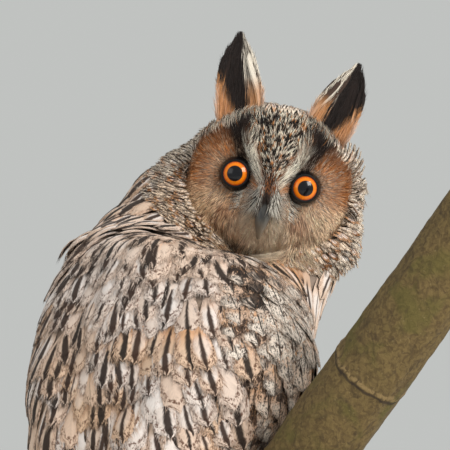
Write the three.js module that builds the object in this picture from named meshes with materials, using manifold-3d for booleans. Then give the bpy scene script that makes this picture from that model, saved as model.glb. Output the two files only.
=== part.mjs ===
// A life-size long-eared owl, perched and looking back over its right shoulder.
// Millimetres, +Z up. The owl's back is towards -Y, and its face looks along -Y.
// The origin is on the floor, under the middle of the display base.
import * as THREE from "three";
import { mergeVertices } from "three/addons/utils/BufferGeometryUtils.js";
import Module from "manifold-3d";

const wasm = await Module();
wasm.setup();

// Driving dimensions: pose
const deg = THREE.MathUtils.degToRad;
const HEADING = deg(38); // the breast points away from the viewer, and this far to the right
const PITCH = deg(32); // lean of the back from upright
const HEAD_ROLL = deg(12); // the head is tilted to the viewer's right
const BODY_CENTRE = new THREE.Vector3(-16, 22, 168);
const HEAD_CENTRE = new THREE.Vector3(33, 70, 283);
const GAP = 0.3; // between nodes that touch
const WELD = 5e-3; // points this close become one

// Driving dimensions: perch and display base
const PERCH_RADIUS = 20.5;
const PERCH_SIDES = 12;
const PERCH_GRIP = new THREE.Vector3(1, 38, 74); // on the axis, between the feet
const BASE_SIZE = new THREE.Vector3(196, 212, 14);
const BASE_CORNER = 60;
const BASE_BEVEL = 3;
const ROD_RADIUS = 5;

// Driving dimensions: plumage and limbs
const WING_SHELL_THICKNESS = 13;
const VANE_THICKNESS = 0.9;
const TAIL_TIP = -168; // along the body axis
const WING_TIP = -172;
const EYE_SPACING = 37.3;
const EYE_RADIUS = 9.6;
const IRIS_OPENING = 7;
const EYE_FORWARD = -18.5; // of the head's centre
const EYE_SPLAY = deg(9);
const TUFT_LENGTH = 37;
const TOE_RADIUS = 5.6;
const CLAW_LENGTH = 15;

// The bird's own directions, in world space
const up = new THREE.Vector3(0, 0, 1);
const forward = new THREE.Vector3(Math.sin(HEADING), Math.cos(HEADING), 0);
const right = new THREE.Vector3(Math.cos(HEADING), -Math.sin(HEADING), 0);
const axis = forward.clone().multiplyScalar(Math.sin(PITCH)).addScaledVector(up, Math.cos(PITCH));
const dorsal = up.clone().multiplyScalar(Math.sin(PITCH)).addScaledVector(forward, -Math.cos(PITCH));

// Sections across the body's axis, without the wings: place along the axis, bend of the axis
// towards the belly, half width on the left and right, depth of the back and of the belly.
const SECTIONS = [
  [-150, 0, 22, 22, 10, 7],
  [-118, 0, 28, 28, 18, 12],
  [-88, 0, 40, 39, 34, 20],
  [-50, 0, 57, 55, 56, 37],
  [-10, 0, 69, 67, 69, 56],
  [25, 0, 75, 66, 73, 62],
  [55, 0, 77, 56, 73, 62],
  [80, 8, 82, 53, 74, 53],
  [105, 18, 69, 54, 66, 41],
  [128, 20, 54, 53, 58, 31],
  [144, 19, 42, 42, 48, 23],
  [158, 18, 26, 28, 30, 14],
];
const TRUNK_END = -88;
const NECK_CUT = 80;
const NECK_END = 156;
const HOLLOW = { depth: -0.92, angle: 32, spread: 52, from: 57, to: 84 }; // under the chin
const NAPE = { depth: 0.36, angle: -48, spread: 40, from: 78, to: 126 }; // drawn up by the turned head

// Small maths
const lerp = THREE.MathUtils.lerp;
const smooth = (x, low, high) => THREE.MathUtils.smoothstep(x, low, high);
const bump = (x, width) => Math.exp(-(x * x) / (width * width));

// A smooth reading of a table whose first column is the place.
function readTable(table, place) {
  const last = table.length - 1;
  let i = 0;
  while (i < last - 1 && place > table[i + 1][0]) i += 1;
  const t = (place - table[i][0]) / (table[i + 1][0] - table[i][0]);
  const before = table[Math.max(0, i - 1)];
  const after = table[Math.min(last, i + 2)];
  return table[i].slice(1).map((start, k) => {
    const end = table[i + 1][k + 1];
    const m0 = ((end - before[k + 1]) / (table[i + 1][0] - before[0])) * (table[i + 1][0] - table[i][0]);
    const m1 = ((after[k + 1] - start) / (after[0] - table[i][0])) * (table[i + 1][0] - table[i][0]);
    const t2 = t * t;
    const t3 = t2 * t;
    return (2 * t3 - 3 * t2 + 1) * start + (t3 - 2 * t2 + t) * m0 + (3 * t2 - 2 * t3) * end + (t3 - t2) * m1;
  });
}

function swell({ depth, angle, spread, from, to }, place, at) {
  const turned = ((((at - angle) % 360) + 540) % 360) - 180;
  return depth * smooth(place, from, to) * bump(turned, spread);
}

// A point on the trunk at a place along the axis. The angle is 0 on the back, positive on
// the bird's right and 180 on the belly. Raise lifts it off the trunk.
function onTrunk(place, angle, raise = 0) {
  const [bend, leftWidth, rightWidth, back, belly] = readTable(SECTIONS, place);
  const a = deg(angle);
  const drawn = 1 + swell(HOLLOW, place, angle) + swell(NAPE, place, angle);
  const depth = (Math.cos(a) > 0 ? back : belly) * drawn + raise;
  const width = (Math.sin(a) > 0 ? rightWidth : leftWidth) * drawn + raise;
  return BODY_CENTRE.clone()
    .addScaledVector(axis, place)
    .addScaledVector(right, width * Math.sin(a))
    .addScaledVector(dorsal, depth * Math.cos(a) - bend);
}

function trunkNormal(place, angle) {
  const along = onTrunk(place + 2, angle).sub(onTrunk(place - 2, angle));
  const round = onTrunk(place, angle + 2).sub(onTrunk(place, angle - 2));
  return round.cross(along).normalize();
}

// A closed geometry from rings of equal count, with a point at each end where given.
function closedRings(rings, first, last) {
  const count = rings[0].length;
  const points = rings.flat();
  const faces = [];
  for (let i = 0; i < rings.length - 1; i += 1) {
    for (let j = 0; j < count; j += 1) {
      const a = i * count + j;
      const b = i * count + ((j + 1) % count);
      faces.push(a, b, b + count, a, b + count, a + count);
    }
  }
  const firstPoint = first ?? middleOf(rings[0]);
  const lastPoint = last ?? middleOf(rings[rings.length - 1]);
  points.push(firstPoint, lastPoint);
  const end = (rings.length - 1) * count;
  for (let j = 0; j < count; j += 1) {
    const next = (j + 1) % count;
    faces.push(points.length - 2, next, j);
    faces.push(points.length - 1, end + j, end + next);
  }
  return indexed(points, faces);
}

function middleOf(ring) {
  const sum = new THREE.Vector3();
  ring.forEach((p) => sum.add(p));
  return sum.divideScalar(ring.length);
}

function indexed(points, faces) {
  const geometry = new THREE.BufferGeometry().setFromPoints(points);
  geometry.setIndex(faces);
  return geometry;
}

// A closed geometry as a solid, turned the right way out.
function solid(geometry) {
  const bare = geometry.clone();
  bare.deleteAttribute("normal");
  bare.deleteAttribute("uv");
  const merged = mergeVertices(bare, 1e-4);
  const vertProperties = new Float32Array(merged.attributes.position.array);
  const triVerts = new Uint32Array(merged.index.array);
  const made = new wasm.Manifold(new wasm.Mesh({ numProp: 3, vertProperties, triVerts }));
  if (made.volume() > 0) return made;
  for (let i = 0; i < triVerts.length; i += 3) {
    [triVerts[i + 1], triVerts[i + 2]] = [triVerts[i + 2], triVerts[i + 1]];
  }
  return new wasm.Manifold(new wasm.Mesh({ numProp: 3, vertProperties, triVerts }));
}

function geometryOf(made) {
  const mesh = made.getMesh();
  const geometry = new THREE.BufferGeometry();
  geometry.setAttribute("position", new THREE.BufferAttribute(new Float32Array(mesh.vertProperties), 3));
  geometry.setIndex(new THREE.BufferAttribute(new Uint32Array(mesh.triVerts), 1));
  return geometry;
}

const joined = (solids) => solids.reduce((all, one) => all.add(one));

function largest(made) {
  return made.decompose().reduce((best, one) => (one.volume() > best.volume() ? one : best));
}

// One closed body with its slivers gone: close points are welded and the largest body is kept.
function settled(made) {
  const geometry = mergeVertices(geometryOf(largest(made)), WELD);
  return largest(solid(geometry));
}

// The same solid with its skin moved out along its vertex normals, for cutting a neighbour clear.
function grown(made, distance = GAP * 1.6) {
  const geometry = geometryOf(made);
  geometry.computeVertexNormals();
  const { position, normal } = geometry.attributes;
  for (let i = 0; i < position.count; i += 1) {
    const p = new THREE.Vector3().fromBufferAttribute(position, i);
    p.addScaledVector(new THREE.Vector3().fromBufferAttribute(normal, i), distance);
    position.setXYZ(i, p.x, p.y, p.z);
  }
  return solid(geometry);
}

const cutClear = (made, ...neighbours) => neighbours.reduce((left, one) => left.subtract(grown(one)), made);

// Vanes. A vane is a thin tapered blade on a path. The path gives a point and a normal for t
// from 0 at the root to 1 at the tip, and the outline gives the half width there. Its tilt
// lifts one edge and sinks the other, so that each vane lies over the next as real ones do.
const VANE_STEPS = [0, 0.36, 0.8, 1];
const rounded = (t) => Math.min(1, 0.5 + 1.6 * t) * Math.sqrt(1 - 0.92 * Math.max(0, (t - 0.6) / 0.4) ** 2.5);
const pointed = (t) => Math.min(1, 0.6 + 1.6 * t) * Math.sqrt(1 - 0.97 * Math.max(0, (t - 0.25) / 0.75) ** 1.8);

function vane(path, halfWidth, { outline = rounded, tilt = 0, thickness = VANE_THICKNESS, steps = VANE_STEPS } = {}) {
  const rings = steps.map((t) => {
    const { point, normal } = path(t);
    const ahead = path(Math.min(1, t + 0.05)).point;
    const behind = path(Math.max(0, t - 0.05)).point;
    const side = ahead.sub(behind).cross(normal).normalize();
    const half = Math.max(0.6, halfWidth * outline(t));
    const thick = thickness * lerp(1, 0.65, t);
    return [
      [1, 0],
      [-1, 0],
      [-1, -1],
      [1, -1],
    ].map(([across, down]) =>
      point
        .clone()
        .addScaledVector(side, across * half)
        .addScaledVector(normal, across * tilt * (half / halfWidth) + down * thick),
    );
  });
  return solid(flatEnds(rings));
}

// Rings of four corners, split alike above and below, closed with two triangles at each end.
function flatEnds(rings) {
  const points = rings.flat();
  const faces = [];
  for (let i = 0; i < rings.length - 1; i += 1) {
    for (let j = 0; j < 4; j += 1) {
      const a = i * 4 + j;
      const b = i * 4 + ((j + 1) % 4);
      if (j > 0) faces.push(a, b, b + 4, a, b + 4, a + 4);
      else faces.push(a, b, a + 4, b, b + 4, a + 4);
    }
  }
  const end = (rings.length - 1) * 4;
  faces.push(0, 2, 1, 0, 3, 2, end, end + 1, end + 2, end, end + 2, end + 3);
  return indexed(points, faces);
}

// A path over the trunk from one place and angle to another, rising off it on the way.
function overTrunk(from, to, raiseRoot, raiseTip, lift = 0) {
  return (t) => {
    const place = lerp(from[0], to[0], t);
    const angle = lerp(from[1], to[1], t);
    const raise = lerp(raiseRoot, raiseTip, Math.sqrt(t)) + lift * t * t;
    return { point: onTrunk(place, angle, raise), normal: trunkNormal(place, angle) };
  };
}

// Flesh of the trunk and neck: one smooth body, later parted at the foot of the neck
const span = (from, to, step) => Array.from({ length: Math.ceil((to - from) / step) }, (_, i) => from + i * step);
const BODY_PLACES = [...span(TRUNK_END, 50, 11.5), ...span(50, 92, 7), ...span(92, NECK_END, 12), NECK_END];

function bodyForm() {
  const round = 26;
  const ring = (place) => Array.from({ length: round }, (_, j) => onTrunk(place, (j * 360) / round));
  return solid(closedRings(BODY_PLACES.map(ring)));
}

// Wing shell over the flank: thick at the bend of the wing, thin at its edges. Each row is
// a place along the body's axis with the angles of the upper and the lower edge there.
const WING_EDGE = [
  [-77, 22, 62],
  [-45, 23, 84],
  [0, 26, 100],
  [35, 31, 98],
  [58, 40, 84],
  [72, 50, 74],
];
const WING_BACK = WING_EDGE[0][0];
const WING_FRONT = WING_EDGE[WING_EDGE.length - 1][0];

function wingRaise(place, angle) {
  const [upper, lower] = readTable(WING_EDGE, THREE.MathUtils.clamp(place, WING_BACK, WING_FRONT));
  const u = THREE.MathUtils.clamp((place - WING_BACK) / (WING_FRONT - WING_BACK), 0, 1);
  const v = THREE.MathUtils.clamp((angle - upper) / (lower - upper), 0, 1);
  const across = Math.sin(Math.PI * v) ** 0.5;
  const along = Math.sin(Math.PI * lerp(0.05, 0.97, u)) ** 0.6;
  return 2 + (WING_SHELL_THICKNESS - 1) * across * along * lerp(0.65, 1, smooth(u, 0, 0.6));
}

function wingShell(side) {
  const across = 7;
  const sunk = -3; // under the trunk's skin, which is then cut away
  const places = BODY_PLACES.filter((place) => place > WING_BACK && place < WING_FRONT);
  const rings = [WING_BACK, ...places, WING_FRONT].map((place) => {
    const [upper, lower] = readTable(WING_EDGE, place);
    const angles = Array.from({ length: across + 1 }, (__, j) => lerp(upper, lower, j / across));
    const outer = angles.map((angle) => onTrunk(place, side * angle, wingRaise(place, angle)));
    const inner = angles.reverse().map((angle) => onTrunk(place, side * angle, sunk));
    return [...outer, ...inner];
  });
  return solid(closedRings(rings));
}

// One tier of like feathers on a wing. Each pair of values runs from the tier's upper feather
// to its lowest. Roots are sunk in the shell, and the blades lie one over the next.
function tier(side, { count, root, tip, angles, tipAngles, tipRaise, arch = 1.5, sunk = 2.2, width, outline }) {
  return Array.from({ length: count }, (_, i) => {
    const t = i / (count - 1);
    const from = [lerp(...root, t), lerp(...angles, t)];
    const to = [lerp(...tip, t), lerp(...tipAngles, t)];
    const low = wingRaise(...from) - sunk;
    const path = (along) => {
      const place = lerp(from[0], to[0], along);
      const angle = side * lerp(from[1], to[1], along);
      const raise = lerp(low, lerp(...tipRaise, t), along) + arch * Math.sin(Math.PI * along) ** 0.8;
      return { point: onTrunk(place, angle, raise), normal: trunkNormal(place, angle) };
    };
    return vane(path, lerp(...width, t), { outline, tilt: side * -1.6 });
  });
}

const WING_TIERS = [
  // primaries
  {
    count: 5, root: [-50, -36], tip: [-122, WING_TIP], angles: [50, 79], tipAngles: [30, 52],
    tipRaise: [7, 1], arch: 0.5, width: [8.5, 7],
  },
  // secondaries
  {
    count: 6, root: [-30, -18], tip: [-90, -112], angles: [32, 79], tipAngles: [22, 62],
    tipRaise: [12.5, 6.5], arch: 1.6, width: [11, 9.5],
  },
  // greater coverts
  {
    count: 7, root: [6, 14], tip: [-44, -24], angles: [38, 86], tipAngles: [35, 82],
    tipRaise: [14, 10], arch: 1.2, width: [9.5, 8.5],
  },
];

const wing = (side) => joined([wingShell(side), ...WING_TIERS.flatMap((like) => tier(side, like))]);

// Tail: twelve feathers fanned from a core under the rump, the middle pair on top
const TAIL_CORE_END = -124;

function tail() {
  const round = 20;
  const rings = [0, 0.33, 0.66, 1].map((t) => {
    const place = lerp(TRUNK_END - GAP, TAIL_CORE_END, t);
    return Array.from({ length: round }, (_, j) => onTrunk(place, (j * 360) / round, lerp(-0.2, -4, t)));
  });
  const feathers = Array.from({ length: 12 }, (_, i) => {
    const out = Math.abs(i - 5.5) - 0.5;
    const t = (i - 5.5) / 5.5;
    const path = (along) => ({
      point: BODY_CENTRE.clone()
        .addScaledVector(axis, lerp(TRUNK_END - 14, TAIL_TIP + 9 * t * t, along))
        .addScaledVector(right, lerp(15, 25, along) * t)
        .addScaledVector(dorsal, 6.5 - out * 1.25 + (i < 6 ? 0 : -0.6) - 1.5 * along),
      normal: dorsal.clone(),
    });
    return vane(path, 9, { thickness: 0.8 });
  });
  return joined([solid(closedRings(rings)), ...feathers]);
}

// Head space: x to the viewer's right, y away from the viewer, z up the tilted head
const headTurn = new THREE.Matrix4().makeRotationY(HEAD_ROLL).setPosition(HEAD_CENTRE);
const inHead = (x, y, z) => new THREE.Vector3(x, y, z).applyMatrix4(headTurn);
const headWay = (x, y, z) => new THREE.Vector3(x, y, z).transformDirection(headTurn);
const EYE_X = EYE_SPACING / 2;
const FACE_WIDTH = 44;
const FACE_TOP = 41;
const FACE_BOTTOM = 43;
const HEAD_BACK = 46;

// How far the face stands forward of the head's centre: a dish round each eye, a ridge
// from the forehead to the bill between them, and a raised rim.
function faceForward(x, z) {
  const side = Math.abs(x);
  const reach = Math.hypot(x / FACE_WIDTH, z / (z > 0 ? FACE_TOP : FACE_BOTTOM));
  const plane = 25 - 9 * reach ** 4;
  const fromEye = Math.hypot((side - EYE_X - 3) / 25, (z + 2) / 31);
  const dish = -9.5 * (1 - smooth(fromEye, 0.15, 1));
  const ridge = 7.5 * bump(x, 6.5) * smooth(z, -34, -6) * lerp(1, 0.35, smooth(z, 8, 36));
  const brow = 3.2 * bump(side - lerp(8, 15.5, smooth(z, 2, 24)), 4) * smooth(z, -4, 6) * (1 - smooth(z, 24, 31));
  const cheek = 3 * bump(Math.hypot(side - 12, z + 20), 9);
  return plane + dish + ridge + brow + cheek;
}

function headBody() {
  const round = 36;
  const outline = Array.from({ length: round }, (_, j) => {
    const a = (j * 2 * Math.PI) / round;
    return [FACE_WIDTH * Math.sin(a), Math.cos(a) * (Math.cos(a) > 0 ? FACE_TOP : FACE_BOTTOM)];
  });
  const face = [0.12, 0.25, 0.38, 0.5, 0.63, 0.77, 0.9, 1].map((reach) =>
    outline.map(([x, z]) => inHead(x * reach, -faceForward(x * reach, z * reach), z * reach)),
  );
  const rim = -faceForward(FACE_WIDTH, 0);
  const back = Array.from({ length: 6 }, (_, i) => {
    const a = ((i + 0.7) / 6.4) * 0.5 * Math.PI;
    const reach = Math.cos(a) ** 0.9 * (1 + 0.1 * Math.sin(2 * a));
    return outline.map(([x, z]) => inHead(x * reach, lerp(rim, HEAD_BACK, Math.sin(a)), z * reach));
  });
  return solid(closedRings([...face, ...back], inHead(0, -faceForward(0, 0), 0), inHead(0, HEAD_BACK, 0)));
}

// A round form about the eye's own axis: each row is a distance from the axis and one forward.
function aboutEye(side, profile, round = 15) {
  const turned = new THREE.LatheGeometry(profile.map(([r, y]) => new THREE.Vector2(r, y)), round);
  turned.rotateX(Math.PI);
  turned.rotateZ(side * EYE_SPLAY);
  turned.translate(side * EYE_X, EYE_FORWARD, 0);
  turned.applyMatrix4(headTurn);
  return solid(turned);
}

const lid = (side) =>
  aboutEye(side, [
    [IRIS_OPENING - 0.1, -1.5],
    [IRIS_OPENING, 2.6],
    [IRIS_OPENING + 1.5, 3],
    [IRIS_OPENING + 3, 0.6],
    [IRIS_OPENING + 2.6, -3],
    [IRIS_OPENING - 0.1, -1.5],
  ]);

function eyeball(side) {
  const dome = Array.from({ length: 6 }, (_, i) => {
    const a = (i / 6) * 0.5 * Math.PI;
    return [EYE_RADIUS * Math.cos(a), EYE_RADIUS * (Math.sin(a) - 0.55)];
  });
  return aboutEye(side, [[0, -EYE_RADIUS], [EYE_RADIUS * 0.8, -EYE_RADIUS * 0.9], ...dome, [0, EYE_RADIUS * 0.45]]);
}

// The ruff: stiff feathers that edge the face and lie back over the side of the head, with
// gaps where the ear tufts stand
const TUFT_ROOT = { x: 26, y: -8, z: 32 };

function ruff() {
  const count = 36;
  const places = Array.from({ length: count }, (_, i) => {
    const a = ((i + 0.5) * 2 * Math.PI) / count;
    return [FACE_WIDTH * Math.sin(a), Math.cos(a) * (Math.cos(a) > 0 ? FACE_TOP : FACE_BOTTOM), i % 2];
  });
  return places
    .filter(([x, z]) => z < 0 || Math.abs(Math.abs(x) - TUFT_ROOT.x) > 12)
    .map(([x, z, odd]) => {
      const path = (t) => {
        const reach = 0.9 + 0.25 * t ** 0.55;
        return {
          point: inHead(x * reach, -12 - 1.5 * Math.sin(Math.PI * t) + (odd ? 18 : 14) * t ** 2.2, z * reach),
          normal: headWay(x, lerp(-60, -10, t), z),
        };
      };
      return vane(path, 5.1, { outline: pointed, tilt: 1, thickness: 0.85, steps: [0, 0.5, 1] });
    });
}

// Ear tuft: feathers in a shallow cup that opens to the face, the middle ones longest
function earTuft(side) {
  const reach = 4;
  const feathers = Array.from({ length: 2 * reach + 1 }, (_, i) => {
    const k = i - reach;
    const long = TUFT_LENGTH * (1 - 0.68 * (Math.abs(k) / reach) ** 1.3) + 5;
    const lean = side * deg(11) - deg(1.2) * k;
    const level = -1.25 * (Math.abs(k) + (k < 0 ? 1 : 0));
    const path = (t) => ({
      point: inHead(
        side * TUFT_ROOT.x + 2.7 * k + Math.sin(lean) * long * t - side * 2 * t * t,
        TUFT_ROOT.y + 2 + level - 2 * t * (1 - t),
        TUFT_ROOT.z - 1 - 0.25 * k * k + Math.cos(lean) * long * t,
      ),
      normal: headWay(0, -1, 0.1),
    });
    return vane(path, 3.5, { outline: pointed });
  });
  const pad = new THREE.SphereGeometry(1, 10, 6);
  pad.scale(12, 6, 6);
  pad.translate(side * TUFT_ROOT.x, TUFT_ROOT.y, TUFT_ROOT.z);
  pad.applyMatrix4(headTurn);
  return joined([solid(pad), ...feathers]);
}

// Bill: each half is a loft of oval sections along a curve
function billHalf(sections, round = 10) {
  const rings = sections.map(([z, front, wide, deep]) =>
    Array.from({ length: round }, (_, j) => {
      const a = (j * 2 * Math.PI) / round;
      return inHead(wide * Math.sin(a), -front + deep * Math.cos(a), z);
    }),
  );
  return solid(closedRings(rings));
}

function upperBill() {
  const body = billHalf([
    [2, 24, 4.2, 4],
    [-4, 27, 5.6, 6],
    [-10, 29.5, 5.8, 6.6],
    [-16, 31, 5, 5.8],
    [-22, 32, 3.8, 4.4],
    [-27, 31.6, 2.3, 2.8],
    [-31, 30, 0.8, 1],
  ]);
  const nostrils = [-1, 1].map((side) => {
    const pit = new THREE.SphereGeometry(1.25, 8, 6);
    const placed = pit.clone().translate(side * 4.9, -31.5, -8.5);
    return solid(placed.applyMatrix4(headTurn));
  });
  return nostrils.reduce((left, one) => left.subtract(one), body);
}

const lowerBill = () =>
  billHalf([
    [-12, 21, 4.4, 3],
    [-17, 23, 4.2, 3.2],
    [-21, 25, 3.2, 2.6],
    [-25, 26.4, 1.6, 1.4],
  ]);

// Perch: a cut length of branch that rises to the owl's right and bends up past the wing
const perchLine = new THREE.CatmullRomCurve3([
  new THREE.Vector3(-28, 86, 55),
  PERCH_GRIP,
  new THREE.Vector3(30, -23, 98),
  new THREE.Vector3(55, -56, 143),
  new THREE.Vector3(92, -76, 194),
  new THREE.Vector3(145, -94, 270),
]);

function perchFrame(t) {
  const point = perchLine.getPointAt(t);
  const along = perchLine.getTangentAt(t);
  const side = along.clone().cross(up).normalize();
  const over = side.clone().cross(along).normalize();
  return { point, along, side, over };
}

function perchRadius(t, turn) {
  const taper = lerp(1.04, 0.96, t);
  const knot = 0.07 * bump(t - 0.44, 0.05) * Math.max(0, Math.cos(turn - 2));
  const bark = 0.02 * Math.sin(turn * 3 + t * 23) + 0.015 * Math.sin(turn * 5 - t * 37);
  return PERCH_RADIUS * (taper + knot + bark);
}

function perch() {
  const steps = 20;
  const rings = Array.from({ length: steps + 1 }, (_, i) => {
    const t = i / steps;
    const { point, side, over } = perchFrame(t);
    return Array.from({ length: PERCH_SIDES }, (__, j) => {
      const turn = (j * 2 * Math.PI) / PERCH_SIDES;
      const r = perchRadius(t, turn);
      return point
        .clone()
        .addScaledVector(side, r * Math.cos(turn))
        .addScaledVector(over, r * Math.sin(turn));
    });
  });
  return solid(closedRings(rings));
}

// Where each foot holds the perch, as a place along its line
const gripPlace = (() => {
  let best = 0;
  for (let t = 0; t <= 1; t += 0.001) {
    const closer = perchLine.getPointAt(t).distanceTo(PERCH_GRIP) < perchLine.getPointAt(best).distanceTo(PERCH_GRIP);
    if (closer) best = t;
  }
  return best;
})();
const FOOT_APART = 21;
const footPlace = (side) => gripPlace + (side * FOOT_APART) / perchLine.getLength();

// A tube of changing radius through points, closed at both ends
function limb(points, radii, round = 10) {
  const curve = new THREE.CatmullRomCurve3(points);
  const steps = radii.length - 1;
  const frames = curve.computeFrenetFrames(steps);
  const rings = radii.map((radius, i) => {
    const centre = curve.getPointAt(i / steps);
    return Array.from({ length: round }, (_, j) => {
      const a = (j * 2 * Math.PI) / round;
      return centre
        .clone()
        .addScaledVector(frames.normals[i], radius * Math.cos(a))
        .addScaledVector(frames.binormals[i], radius * Math.sin(a));
    });
  });
  return solid(closedRings(rings));
}

// A point round the perch at a foot: 0 is on top, positive goes over the front
function roundPerch(side, along, turn, raise) {
  const { point, side: across, over } = perchFrame(footPlace(side) + along / perchLine.getLength());
  const front = across.dot(forward) > 0 ? 1 : -1;
  const radius = PERCH_RADIUS * 1.075 + raise;
  return point
    .clone()
    .addScaledVector(over, radius * Math.cos(turn))
    .addScaledVector(across, front * radius * Math.sin(turn));
}

const TOES = [
  // start along the perch, end along the perch, how far round it goes
  [-3, -9, deg(78)],
  [4, 8, deg(82)],
  [-3, -11, deg(-66)],
  [4, 9, deg(-62)],
];

function toePoints(side, [start, end, sweep]) {
  return [0, 0.25, 0.5, 0.75, 1].map((t) =>
    roundPerch(side, lerp(start, end, t), sweep * t, TOE_RADIUS + GAP + 0.6 - 0.8 * t + 1.6 * Math.sin(Math.PI * t)),
  );
}

function footParts(side) {
  const toes = TOES.map((toe) =>
    limb(toePoints(side, toe), [0.95, 1.08, 0.94, 1.06, 0.78].map((r) => r * TOE_RADIUS), 7),
  );
  const pad = new THREE.SphereGeometry(1, 10, 7);
  pad.scale(11.5, 9.5, 7);
  pad.rotateZ(-HEADING);
  pad.translate(...roundPerch(side, 0, 0, 6.5).toArray());
  return [solid(pad), ...toes];
}

function claw(side, toe) {
  const [, end, sweep] = toe;
  const way = Math.sign(sweep);
  const reach = CLAW_LENGTH / (PERCH_RADIUS + 6);
  const points = [0, 0.33, 0.66, 1].map((t) =>
    roundPerch(side, end, sweep + way * (0.06 + reach * t), lerp(6.4, 1.6, t) + 3.2 * Math.sin(Math.PI * t)),
  );
  return limb(points, [2.7, 2.2, 1.4, 0.5], 6);
}

// Feathered leg: a short trouser from the belly to the foot
function leg(side) {
  const hip = onTrunk(-42, 180 - side * 32, -16);
  const sole = roundPerch(side, 0, 0, 9);
  const points = [0, 0.5, 1].map((t) => hip.clone().lerp(sole, t));
  return limb(points, [19, 18, 15, 11, 9], 12);
}

// Display stand: a flat base and two rods up to the perch
function baseBoard() {
  const half = BASE_SIZE.clone().multiplyScalar(0.5);
  const inset = BASE_BEVEL;
  const corner = BASE_CORNER - inset;
  const shape = new THREE.Shape();
  const x = half.x - inset;
  const y = half.y - inset;
  shape.absarc(x - corner, y - corner, corner, 0, Math.PI / 2);
  shape.absarc(-x + corner, y - corner, corner, Math.PI / 2, Math.PI);
  shape.absarc(-x + corner, -y + corner, corner, Math.PI, 1.5 * Math.PI);
  shape.absarc(x - corner, -y + corner, corner, 1.5 * Math.PI, 2 * Math.PI);
  const board = new THREE.ExtrudeGeometry(shape, {
    depth: BASE_SIZE.z - 2 * inset,
    bevelThickness: inset,
    bevelSize: inset,
    bevelSegments: 1,
    curveSegments: 7,
  });
  board.translate(0, 0, inset);
  return solid(board);
}

function rod(place, perchSolid) {
  const { point } = perchFrame(place);
  const bottom = BASE_SIZE.z + GAP;
  const shaft = new THREE.CylinderGeometry(ROD_RADIUS, ROD_RADIUS, point.z - bottom, 16);
  shaft.rotateX(Math.PI / 2);
  shaft.translate(point.x, point.y, (point.z + bottom) / 2);
  return largest(cutClear(solid(shaft), perchSolid));
}

// Materials
const material = (color, roughness) => new THREE.MeshStandardMaterial({ color, roughness, metalness: 0 });
const plumage = material(0xb09678, 0.9);
const face = material(0xa87f54, 0.9);
const tuft = material(0x3a2e28, 0.9);
const downy = material(0xc9a77c, 0.9);
const iris = material(0xe8760a, 0.1);
const horn = material(0x34322f, 0.35);
const bark = material(0x6e5f3c, 0.95);
const board = material(0x4a3524, 0.5);
const steel = material(0x2b2b2b, 0.4);

const owl = new THREE.Group();
function place(name, made, look) {
  const mesh = new THREE.Mesh(geometryOf(settled(made)), look);
  mesh.name = name;
  owl.add(mesh);
}

// Assembly: flesh is modelled whole and parted with thin cuts
const SIDES = { left: -1, right: 1 };
const perchSolid = perch();
const flesh = bodyForm();
const neckCut = BODY_CENTRE.dot(axis) + NECK_CUT;
const trunkSolid = flesh.trimByPlane(axis.clone().negate().toArray(), -neckCut);
const eyes = Object.fromEntries(Object.entries(SIDES).map(([name, side]) => [name, eyeball(-side)]));
const bills = { bill_upper: upperBill(), bill_lower: lowerBill() };
bills.bill_lower = cutClear(bills.bill_lower, bills.bill_upper);
const skull = headBody();
const neckSolid = largest(cutClear(flesh.trimByPlane(axis.toArray(), neckCut + GAP), skull, bills.bill_lower));
const sockets = cutClear(joined([skull, lid(-1), lid(1)]), eyes.left, eyes.right, bills.bill_upper, bills.bill_lower);
const headSolid = largest(sockets.add(cutClear(joined(ruff()), flesh)));

place("torso", trunkSolid, plumage);
place("neck", neckSolid, plumage);
place("head", headSolid, face);
Object.entries(bills).forEach(([name, made]) => place(name, made, horn));
Object.entries(SIDES).forEach(([name, side]) => {
  place(`${name}_eye`, eyes[name], iris);
  place(`${name}_ear_tuft`, cutClear(earTuft(-side), skull), tuft);
});

const feet = Object.fromEntries(
  Object.entries(SIDES).map(([name, side]) => [name, largest(cutClear(joined(footParts(side)), perchSolid, flesh))]),
);
const legs = Object.fromEntries(
  Object.entries(SIDES).map(([name, side]) => [name, largest(cutClear(leg(side), flesh, perchSolid, ...footParts(side)))]),
);
const wings = Object.fromEntries(
  Object.entries(SIDES).map(([name, side]) => [
    name,
    largest(cutClear(wing(side), flesh, perchSolid)),
  ]),
);
Object.entries(SIDES).forEach(([name, side]) => {
  place(`${name}_wing`, wings[name], plumage);
  place(`${name}_leg`, legs[name], downy);
  place(`${name}_foot`, feet[name], downy);
  TOES.forEach((toe, i) => place(`${name}_claw_${i + 1}`, cutClear(claw(side, toe), perchSolid, ...footParts(side)), horn));
});
place("tail", cutClear(tail(), flesh, wings.left, wings.right, perchSolid), plumage);

place("perch_branch", perchSolid, bark);
place("stand_base", baseBoard(), board);
place("stand_rod_front", rod(0.06, perchSolid), steel);
place("stand_rod_back", rod(0.46, perchSolid), steel);

export default owl;
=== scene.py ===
"""A life-size long-eared owl on a cut length of branch, held by a display stand.

Metres, +Z up. The owl's back and its turned face look along -Y, towards the camera.
"""
import math

import bpy
import numpy as np
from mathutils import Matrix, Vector, noise
from mathutils.bvhtree import BVHTree
from mathutils.kdtree import KDTree


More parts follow.
